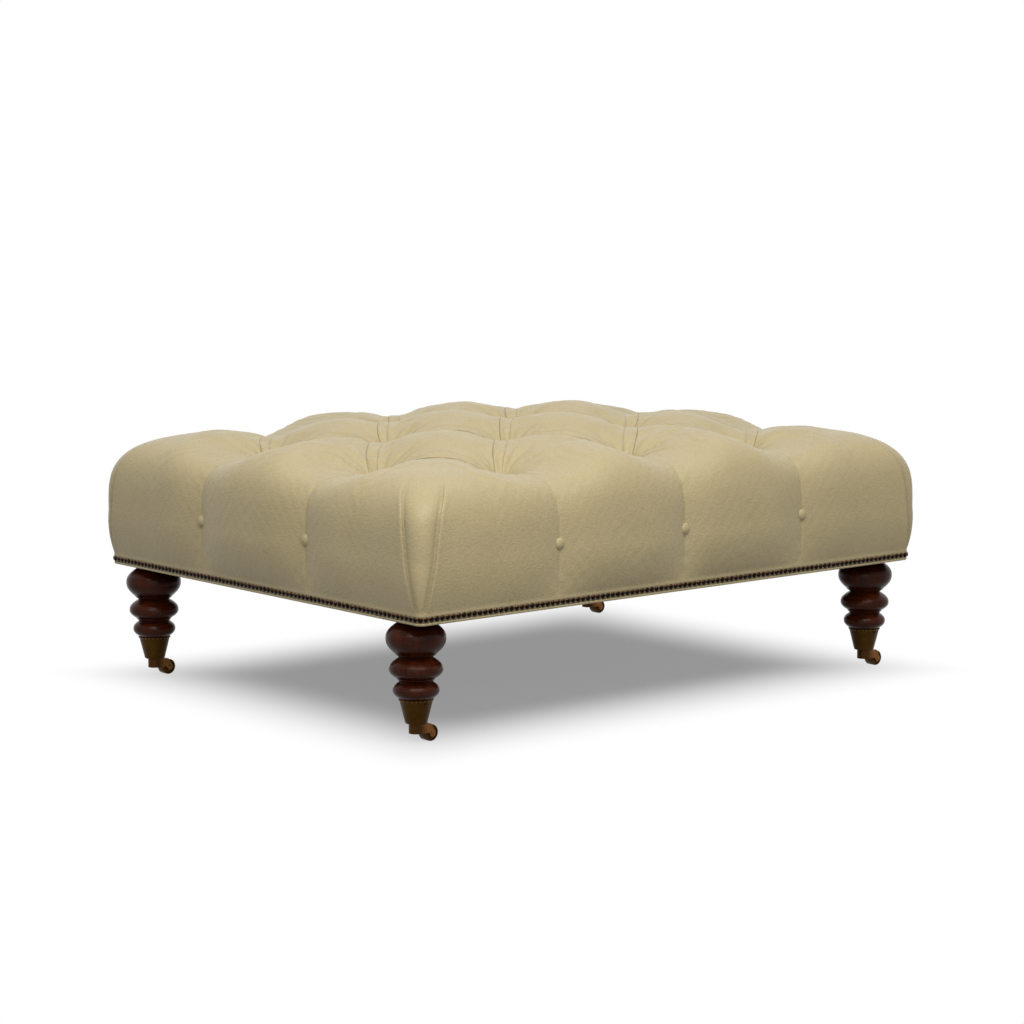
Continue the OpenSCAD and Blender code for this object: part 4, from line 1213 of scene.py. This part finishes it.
# The horn: height of its hub, radii of its arms and web, room round the wheel and beside it, and its pin
HUB_HEIGHT = 0.0155
ARM_R = 0.006
WEB_R = 0.005
WHEEL_ROOM = 0.0012
WHEEL_GAP = 0.00035
PIN_R = 0.0025


def half_bead(z, height, wide, neck, steps=14):
    """Half a turned bead, from its neck to its widest line, as (radius, height) stations."""
    made = []
    for k in range(steps, -1, -1):
        s = math.sin(math.pi / 2 * k / steps)
        made.append((neck / 2 + (wide - neck) / 2 * max(0.0, 1 - s**2.3) ** 1.15, z + height * s))
    return made


def bead(z, low, high, wide, low_neck, high_neck):
    """A whole bead about its widest line at z, low and high being its heights below and above that."""
    return half_bead(z, -low, wide, low_neck) + half_bead(z, high, wide, high_neck)[::-1]


def swell(z, wide, neck, height, steps=6):
    """The soft rise from a neck towards the next bead."""
    made = []
    for k in range(1, steps):
        t = k / steps
        made.append((neck / 2 + (wide - neck) / 4 * (1 - math.cos(math.pi * t)), z + height * t))
    return made


def without_doubles(outline):
    kept = [outline[0]]
    for point in outline[1:]:
        if math.dist(point, kept[-1]) > 1e-5:
            kept.append(point)
    return kept


class OTTOMAN_OT_legs(bpy.types.Operator):
    """Makes the four turned legs"""

    bl_idname = "ottoman.legs"
    bl_label = "Make the legs"

    def execute(self, context):
        legs, caster = context.scene.ottoman_legs, context.scene.ottoman_casters
        neck = legs.neck_diameter
        # Half heights of the beads, from the floor up, and the height of the swells under two of them
        low_half, mid_lower, mid_upper, bun_half = 0.014, 0.015, 0.0195, 0.026
        swell_height = 0.006
        foot = caster.cup_bottom + CUP_FLOOR + REST_GAP
        cup_top = caster.cup_bottom + caster.cup_height
        low_z = cup_top + low_half
        mid_neck = low_z + low_half
        mid_z = mid_neck + swell_height + mid_lower
        bun_neck = mid_z + mid_upper
        bun_z = bun_neck + swell_height + bun_half
        collar_z = bun_z + bun_half
        collar = legs.collar_diameter / 2 + 0.0025
        wall = CUP_WALL + REST_GAP
        # Small ring that both flat ends are closed with, and the rounding of the collar's edges
        middle, edge = 0.002, 0.0005
        outline = [
            (middle, foot),
            (caster.cup_bottom_diameter / 2 - wall, foot),
            (caster.cup_top_diameter / 2 - wall, cup_top - 0.0004),
        ]
        outline += bead(low_z, low_half, low_half, legs.low_diameter, neck, neck)
        outline += swell(mid_neck, legs.mid_swell, neck, swell_height)
        outline += bead(mid_z, mid_lower, mid_upper, legs.mid_diameter, legs.mid_swell, neck)
        outline += swell(bun_neck, legs.bun_swell, neck, swell_height)
        outline += bead(bun_z, bun_half, bun_half, legs.bun_diameter, legs.bun_swell, legs.collar_diameter)
        outline += [
            (collar - edge, collar_z + 0.0032),
            (collar, collar_z + 0.0042),
            (collar, FRAME_BOTTOM - edge),
            (collar - edge, FRAME_BOTTOM),
            (middle, FRAME_BOTTOM),
        ]
        leg = turned("leg", without_doubles(outline), 96)
        smooth(leg, 40)
        wood = polished_mahogany()
        for number, corner in enumerate(CORNERS):
            # Each leg is turned its own way, so that its grain differs from its neighbours'
            piece = copy_to(leg, "turned_leg_" + corner, LEG_AXIS[corner], spin(1.7 * number, "Z"))
            finish_piece(piece, wood, "root", "mahogany", "leg_" + corner)
        remove(leg)
        return {"FINISHED"}


class OTTOMAN_OT_cups(bpy.types.Operator):
    """Makes the four brass cups with their beaded rims, and their screws"""

    bl_idname = "ottoman.cups"
    bl_label = "Make the cups"

    def execute(self, context):
        caster, look = context.scene.ottoman_casters, context.scene.ottoman_finish
        z0, z1 = caster.cup_bottom, caster.cup_bottom + caster.cup_height
        r0, r1 = caster.cup_bottom_diameter / 2, caster.cup_top_diameter / 2
        slope = (r1 - r0) / caster.cup_height
        # Bore for the pintle, and the rounding of the foot
        bore, edge = 0.0045, 0.0025
        outline = [(bore, z0), (r0 - edge, z0)]
        for k in range(1, 7):
            w = math.pi / 2 * k / 6
            outline.append((r0 - edge + edge * (1 + slope) * math.sin(w), z0 + edge * (1 - math.cos(w))))
        # A small fillet, then the rim that carries the beads
        outline += [
            (r1 - slope * 0.0042, z1 - 0.0042),
            (r1 - slope * 0.004 + 0.0003, z1 - 0.0039),
            (r1 - 0.0001, z1 - 0.0034),
            (r1 + 0.0002, z1 - 0.0005),
            (r1 - 0.0002, z1),
            (r1 - CUP_WALL, z1),
            (r1 - CUP_WALL - 0.001 * slope, z1 - 0.001),
            (r0 - CUP_WALL, z0 + CUP_FLOOR),
            (bore, z0 + CUP_FLOOR),
        ]
        cup = turned("cup", outline, 80)
        smooth(cup, 35)
        deselect()
        bpy.ops.mesh.primitive_uv_sphere_add(segments=10, ring_count=6, radius=BEAD_R)
        drop = bpy.context.object
        beads = []
        for corner in CORNERS:
            for k in range(RIM_BEADS):
                w = 2 * math.pi * (k + 0.5) / RIM_BEADS
                spot = Vector(((r1 - 0.0003) * math.cos(w), (r1 - 0.0003) * math.sin(w), z1 - 0.0019))
                beads.append(copy_to(drop, "bead", spot + LEG_AXIS[corner]))
        beads = join("rim_bead_set", beads)
        smooth(beads)
        rubbed = antiqued_metal("rubbed_brass_beads", look.horn_brass, 1.5, 0.35, 11.1)
        finish_piece(beads, rubbed, "root", "dark_brass")
        brass = antiqued_metal("dark_antiqued_brass", look.cup_brass, 1.35, 0.42, 14.3)
        # Round-headed screw, from its shank up
        shank, head = 0.0014, ((0.003, 0.0001), (0.0029, 0.0009), (0.0021, 0.0015), (0.0008, 0.0018))
        screw = turned("screw", [(0.0005, -0.002), (shank, -0.002), (shank, 0.0), *head], 24)
        # A straight slot across the head
        deselect()
        bpy.ops.mesh.primitive_cube_add(size=1, location=(0, 0, 0.0019))
        blade = bpy.context.object
        blade.scale = (0.008, 0.0007, 0.0016)
        settle(blade)
        apply_modifier(screw, "BOOLEAN", object=blade, operation="DIFFERENCE", solver="EXACT")
        smooth(screw, 40)
        # It stands square on the sloping wall
        spot_z = z1 - SCREW_DROP
        spot_r = r0 + slope * (spot_z - z0) + REST_GAP
        tilt = math.pi / 2 + math.atan(slope)
        screws = []
        for number, corner in enumerate(CORNERS):
            for s in (-1, 1):
                spot = LEG_AXIS[corner] + Vector((0, s * spot_r, spot_z))
                twist = spin(-s * tilt, "X") @ spin(0.6 + 1.1 * number + s, "Z")
                screws.append(copy_to(screw, "screw", spot, twist))
            piece = copy_to(cup, "brass_cup_" + corner, LEG_AXIS[corner])
            finish_piece(piece, brass, "root", "dark_brass", "caster_cup_" + corner)
        remove(cup, drop, blade, screw)
        finish_piece(join("cup_screw_set", screws), brass, "root", "dark_brass", "cup_screws")
        return {"FINISHED"}


class OTTOMAN_OT_casters(bpy.types.Operator):
    """Makes the horns, axle pins and wheels of the casters"""

    bl_idname = "ottoman.casters"
    bl_label = "Make the casters"

    def execute(self, context):
        caster, look = context.scene.ottoman_casters, context.scene.ottoman_finish
        hub_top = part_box("horn_front_left")[1].z
        hub_low = hub_top - HUB_HEIGHT
        r_hub = caster.hub_diameter / 2
        trail, axle_z = caster.trail, caster.wheel_diameter / 2
        pocket_r = caster.wheel_diameter / 2 + WHEEL_ROOM
        pocket_w = caster.wheel_width + 2 * WHEEL_GAP

        def drum(radius, depth, centre, turn=(0, 0, 0), sides=64):
            deselect()
            bpy.ops.mesh.primitive_cylinder_add(
                vertices=sides, radius=radius, depth=depth, location=centre, rotation=turn
            )
            made = bpy.context.object
            settle(made)
            return made

        def block(low, high):
            deselect()
            middle = [(a + b) / 2 for a, b in zip(low, high)]
            bpy.ops.mesh.primitive_cube_add(size=1, location=middle)
            made = bpy.context.object
            made.scale = [b - a for a, b in zip(low, high)]
            settle(made)
            return made

        def combine(base, other, operation):
            apply_modifier(base, "BOOLEAN", object=other, operation=operation, solver="EXACT")
            remove(other)

        sideways = (math.pi / 2, 0, 0)
        width = caster.hub_diameter
        # The web over the front of the wheel runs down to the axle in two arms
        horn = drum(ARM_R, width, (trail, 0, axle_z), sideways)
        horn = join("horn", [horn, drum(WEB_R, width, (trail - ARM_R, 0, hub_top - WEB_R), sideways)])
        edit(horn)
        bpy.ops.mesh.convex_hull()
        leave_edit()
        combine(horn, block((0, -r_hub, hub_low), (trail - ARM_R, r_hub, hub_top)), "UNION")
        combine(horn, drum(r_hub, hub_top - hub_low, (0, 0, (hub_top + hub_low) / 2)), "UNION")
        # Room for the wheel, open to the back, and the hole for the pin
        combine(horn, drum(pocket_r, pocket_w, (trail, 0, axle_z), sideways, 96), "DIFFERENCE")
        back = block((trail - 0.0045, -pocket_w / 2, axle_z), (trail + 0.03, pocket_w / 2, hub_top + 0.01))
        combine(horn, back, "DIFFERENCE")
        combine(horn, drum(PIN_R + 0.0001, 0.06, (trail, 0, axle_z), sideways, 24), "DIFFERENCE")
        angle = math.radians(40)
        apply_modifier(horn, "BEVEL", width=0.0005, segments=2, limit_method="ANGLE", angle_limit=angle)
        smooth(horn, 35)
        # The hub, under the cup, is darker than the rest of the horn
        patina = horn.data.attributes.new("darker_hub", "FLOAT", "POINT")
        for v in horn.data.vertices:
            on_hub = math.hypot(v.co.x, v.co.y) < r_hub + 0.0004 and v.co.x < 0.009
            patina.data[v.index].value = float(on_hub)

        # Pin with a domed rivet head at each end
        reach = r_hub + REST_GAP
        rivet = ((0.0037, 0.0), (0.0036, 0.0004), (0.0027, 0.0009), (0.0008, 0.0011))
        half = [(PIN_R, 0.0), (PIN_R, reach), *((r, reach + rise) for r, rise in rivet)]
        pin = turned("pin", [(r, -z) for r, z in reversed(half)] + half[1:], 32)
        # Solid turned wheel: a hub, a dish and a rim on each face, and a rounded tread
        w, r = caster.wheel_width / 2, caster.wheel_diameter / 2
        face = [(PIN_R + REST_GAP, w - 0.0003), (0.0048, w), (0.0066, w - 0.0002), (0.0072, w - 0.0008)]
        face += [(0.0076, w - 0.0016), (r - 0.0032, w - 0.0016), (r - 0.0028, w - 0.0008)]
        face += [(r - 0.0024, w - 0.0001), (r - 0.0014, w), (r - 0.0005, w - 0.0005), (r, w - 0.0016)]
        wheel = turned("wheel", [(a, -b) for a, b in face] + face[::-1], 72)
        for part, degrees in ((pin, 40), (wheel, 30)):
            part.data.transform(Matrix.Translation((trail, 0, axle_z)) @ spin(math.pi / 2, "X"))
            smooth(part, degrees)
        # The hub is darker than the rest of the horn
        hub_tone = tuple(c * HUB_TONE_SHARE for c in look.horn_brass)
        cast = antiqued_metal("cast_brass", look.horn_brass, 1.25, 0.32, 16.7, "darker_hub", hub_tone)
        spun = antiqued_metal("turned_brass", look.wheel_brass, 1.3, 0.4, 9.1)
        for corner in CORNERS:
            for part, kind, metal, body, slot in (
                (horn, "horn", cast, "swivel_", "horn_brass"),
                (pin, "axle", cast, "swivel_", "horn_brass"),
                (wheel, "wheel", spun, "roller_", "wheel_brass"),
            ):
                piece = copy_to(part, f"brass_{kind}_{corner}", LEG_AXIS[corner])
                finish_piece(piece, metal, body + corner, slot, f"{kind}_{corner}")
            dress(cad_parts["pintle_" + corner], cast)
        remove(horn, pin, wheel)
        return {"FINISHED"}


# ---- Frame and underside ----------------------------------------------------

# Radius of the dust cover's holes for the legs
LEG_HOLE = 0.0365


class OTTOMAN_OT_underside(bpy.types.Operator):
    """Makes the black dust cover"""

    bl_idname = "ottoman.underside"
    bl_label = "Make the underside"

    def execute(self, context):
        low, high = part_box("dust_cover")
        width, depth = high.x - low.x, high.y - low.y
        deselect()
        bpy.ops.mesh.primitive_grid_add(
            x_subdivisions=112, y_subdivisions=88, size=1, location=(0, 0, (low.z + high.z) / 2)
        )
        sheet = bpy.context.object
        sheet.scale = (width, depth, 1)
        settle(sheet)
        # Holes for the four legs: the faces in them go, and points left inside move out to their edges
        for axis in LEG_AXIS.values():
            select_parts(sheet, faces=lambda f: math.dist(f.center[:2], axis[:2]) < LEG_HOLE - 0.004)
            bpy.ops.mesh.delete(type="FACE")
            leave_edit()
        for v in sheet.data.vertices:
            for axis in LEG_AXIS.values():
                d = math.dist(v.co[:2], axis[:2])
                if d < LEG_HOLE:
                    k = LEG_HOLE / max(d, 1e-6)
                    v.co.x, v.co.y = axis.x + (v.co.x - axis.x) * k, axis.y + (v.co.y - axis.y) * k
            # It sags a little away from its stapled edge
            edge = min(width / 2 - abs(v.co.x), depth / 2 - abs(v.co.y))
            waves = 1 + 0.5 * math.sin(v.co.x * 23) * math.sin(v.co.y * 19)
            v.co.z = (low.z + high.z) / 2 - 0.0016 * min(1.0, edge / 0.06) * waves
        apply_modifier(sheet, "SOLIDIFY", thickness=0.0004, offset=0)
        sheet.name = sheet.data.name = "dust_sheet"
        smooth(sheet, 40)
        cambric = plain_stuff("black_cambric", "#1c1c20", "#101013", 1.2, 0.9)
        finish_piece(sheet, cambric, "root", "cambric", "dust_cover")
        return {"FINISHED"}


class OTTOMAN_OT_frame(bpy.types.Operator):
    """Finishes the frame, the foam and the fasteners inside"""

    bl_idname = "ottoman.frame"
    bl_label = "Finish the frame"

    def execute(self, context):
        beech_x = sawn_wood("planed_beech_long", "#c79a66", "#a87a48", 0, 4.0)
        beech_y = sawn_wood("planed_beech_cross", "#c79a66", "#a87a48", 1, 4.0)
        finishes = {
            "front_rail": beech_x,
            "back_rail": beech_x,
            "left_rail": beech_y,
            "right_rail": beech_y,
            "cross_rail_left": beech_y,
            "cross_rail_right": beech_y,
            "seat_deck": sawn_wood("birch_plywood", "#d8b98a", "#c39c66", 0, 6.0),
            "foam_core": plain_stuff("cut_foam", "#ecdca6", "#d9c68c", 1.5, 0.95),
            "button_twine": plain_stuff("waxed_linen_twine", "#ddd3bc", "#b9ac8e", 0.8, 0.7),
            "tufting_washers": plain_stuff("moulded_nylon", "#2a2a2a", "#1d1d1d", 2.0, 0.5),
        }
        zinc = plain_stuff("zinc_plated_steel", "#b9bcc0", "#9a9da2", 3.0, 0.35, 1.0)
        screws = ("deck_screws", "frame_screws", "block_screws")
        for name in ("dust_staples", "tee_nuts", "hanger_bolts", *screws):
            finishes[name] = zinc
        for corner in CORNERS:
            finishes["corner_block_" + corner] = beech_x
        for name, material in finishes.items():
            dress(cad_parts[name], material)
        return {"FINISHED"}


# ---- Stage ------------------------------------------------------------------


def seen_ray(tree):
    """1 where the eye looks, straight on, through glass or in a mirror, 0 where light only bounces."""
    path = node(tree, "ShaderNodeLightPath").outputs
    seen = path["Is Camera Ray"]
    for other in ("Is Glossy Ray", "Is Transmission Ray"):
        seen = maths(tree, "MAXIMUM", seen, path[other])
    return seen


class OTTOMAN_OT_stage(bpy.types.Operator):
    """Makes the floor, the lights and the white room"""

    bl_idname = "ottoman.stage"
    bl_label = "Make the stage"

    def execute(self, context):
        light = context.scene.ottoman_stage
        deselect()
        bpy.ops.mesh.primitive_plane_add(size=60)
        floor = bpy.context.object
        floor.name = floor.data.name = "studio_floor"
        # Painted board: to the eye it glows with painted light that lightens the table's shadow near the
        # table, and it is simply white further off
        material, tree, place = new_material("white_board")
        folded = node(tree, "ShaderNodeVectorMath", (place,), operation="ABSOLUTE")
        reach = CAD_BOX[1].x, CAD_BOX[1].y, 0
        beyond = node(tree, "ShaderNodeVectorMath", (folded, reach), operation="SUBTRACT")
        sides = node(tree, "ShaderNodeSeparateXYZ", (beyond,)).outputs
        far = maths(tree, "SMOOTH_MAX", sides[0], sides[1], 0.12)
        # The painted glow rises from 0.29 of white at 0.24 m inside the table's outline to full white 0.1 m
        # outside it, lightening the table's shadow and ending it there
        shown = maths(tree, "MULTIPLY", ramp(tree, far, -0.24, 0.10, 0.29, 1.0), seen_ray(tree))
        paint = node(tree, "ShaderNodeBsdfDiffuse", {"Color": (*[light.floor_tone] * 3, 1)})
        # Painted light: the board's glow to the eye
        white = node(tree, "ShaderNodeEmission", {"Color": (1, 1, 1, 1), "Strength": 1.0})
        mixed = node(tree, "ShaderNodeMixShader", (shown, paint, white))
        surface(tree, mixed)
        floor.data.materials.append(material)

        def softbox(name, location, aim, size, power):
            lamp = bpy.data.lights.new(name, "AREA")
            lamp.shape = "RECTANGLE"
            lamp.size, lamp.size_y = size
            lamp.energy = power
            obj = bpy.data.objects.new(name, lamp)
            context.collection.objects.link(obj)
            obj.location = location
            obj.rotation_euler = (Vector(aim) - Vector(location)).to_track_quat("-Z", "Y").to_euler()

        softbox("overhead", (0.0, 0.0, 2.6), (0, 0, 0), (2.4, 2.4), light.key_power)
        softbox("front", (-1.55, -2.25, 3.65), (0, 0, 0.3), (4.2, 1.5), light.fill_power)
        softbox("window", (-2.3, -3.2, 1.5), (0, 0, 0.25), (2.4, 0.35), light.window_power)

        world = bpy.data.worlds.new("room")
        context.scene.world = world
        world.use_nodes = True
        tree = world.node_tree
        tree.nodes.clear()
        even = node(tree, "ShaderNodeBackground", {"Color": (1, 1, 1, 1), "Strength": light.room_light})
        shown = node(tree, "ShaderNodeBackground", {"Color": (1, 1, 1, 1), "Strength": 1.0})
        mixed = node(tree, "ShaderNodeMixShader", (seen_ray(tree), even, shown))
        node(tree, "ShaderNodeOutputWorld", {"Surface": mixed})
        context.scene.view_settings.view_transform = "Standard"
        return {"FINISHED"}


class OTTOMAN_OT_camera(bpy.types.Operator):
    """Makes the camera at standing distance in front of the left corner"""

    bl_idname = "ottoman.camera"
    bl_label = "Make the camera"

    def execute(self, context):
        lens = bpy.data.cameras.new("camera")
        lens.lens = 101.5
        lens.sensor_width = 36
        camera = bpy.data.objects.new("camera", lens)
        context.collection.objects.link(camera)
        camera.location = (-3.408, -4.052, 0.988)
        camera.rotation_euler = (math.radians(82.57), 0, math.radians(-40.06))
        context.scene.camera = camera
        return {"FINISHED"}


class OTTOMAN_PT_panel(bpy.types.Panel):
    """Holds the settings and the buttons that make the pieces"""

    bl_label = "Ottoman"
    bl_idname = "OTTOMAN_PT_panel"
    bl_space_type = "VIEW_3D"
    bl_region_type = "UI"
    bl_category = "Ottoman"

    def draw(self, context):
        layout = self.layout
        for title, group in GROUPS.items():
            box = layout.box()
            box.label(text=title)
            settings = getattr(context.scene, group)
            for key in setting_names(settings):
                box.prop(settings, key)
        for operator in OPERATORS:
            layout.operator(operator.bl_idname)


GROUPS = {
    "Cushion": "ottoman_cushion",
    "Trim": "ottoman_trim",
    "Legs": "ottoman_legs",
    "Casters": "ottoman_casters",
    "Finishes": "ottoman_finish",
    "Stage": "ottoman_stage",
}
SETTINGS = (
    OttomanCushionSettings,
    OttomanTrimSettings,
    OttomanLegSettings,
    OttomanCasterSettings,
    OttomanFinishSettings,
    OttomanStageSettings,
)
OPERATORS = (
    OTTOMAN_OT_camera,
    OTTOMAN_OT_cushion,
    OTTOMAN_OT_buttons,
    OTTOMAN_OT_welt,
    OTTOMAN_OT_nails,
    OTTOMAN_OT_legs,
    OTTOMAN_OT_cups,
    OTTOMAN_OT_casters,
    OTTOMAN_OT_underside,
    OTTOMAN_OT_frame,
    OTTOMAN_OT_stage,
)


def register():
    for cls in (*SETTINGS, *OPERATORS, OTTOMAN_PT_panel):
        bpy.utils.register_class(cls)
    for group, cls in zip(GROUPS.values(), SETTINGS):
        setattr(bpy.types.Scene, group, PointerProperty(type=cls))


def unregister():
    for group in GROUPS.values():
        delattr(bpy.types.Scene, group)
    for cls in (OTTOMAN_PT_panel, *reversed(OPERATORS), *reversed(SETTINGS)):
        bpy.utils.unregister_class(cls)


def main():
    register()
    for operator in OPERATORS:
        group, name = operator.bl_idname.split(".")
        getattr(getattr(bpy.ops, group), name)()
    bpy.context.view_layer.update()


if __name__ == "__main__":
    main()
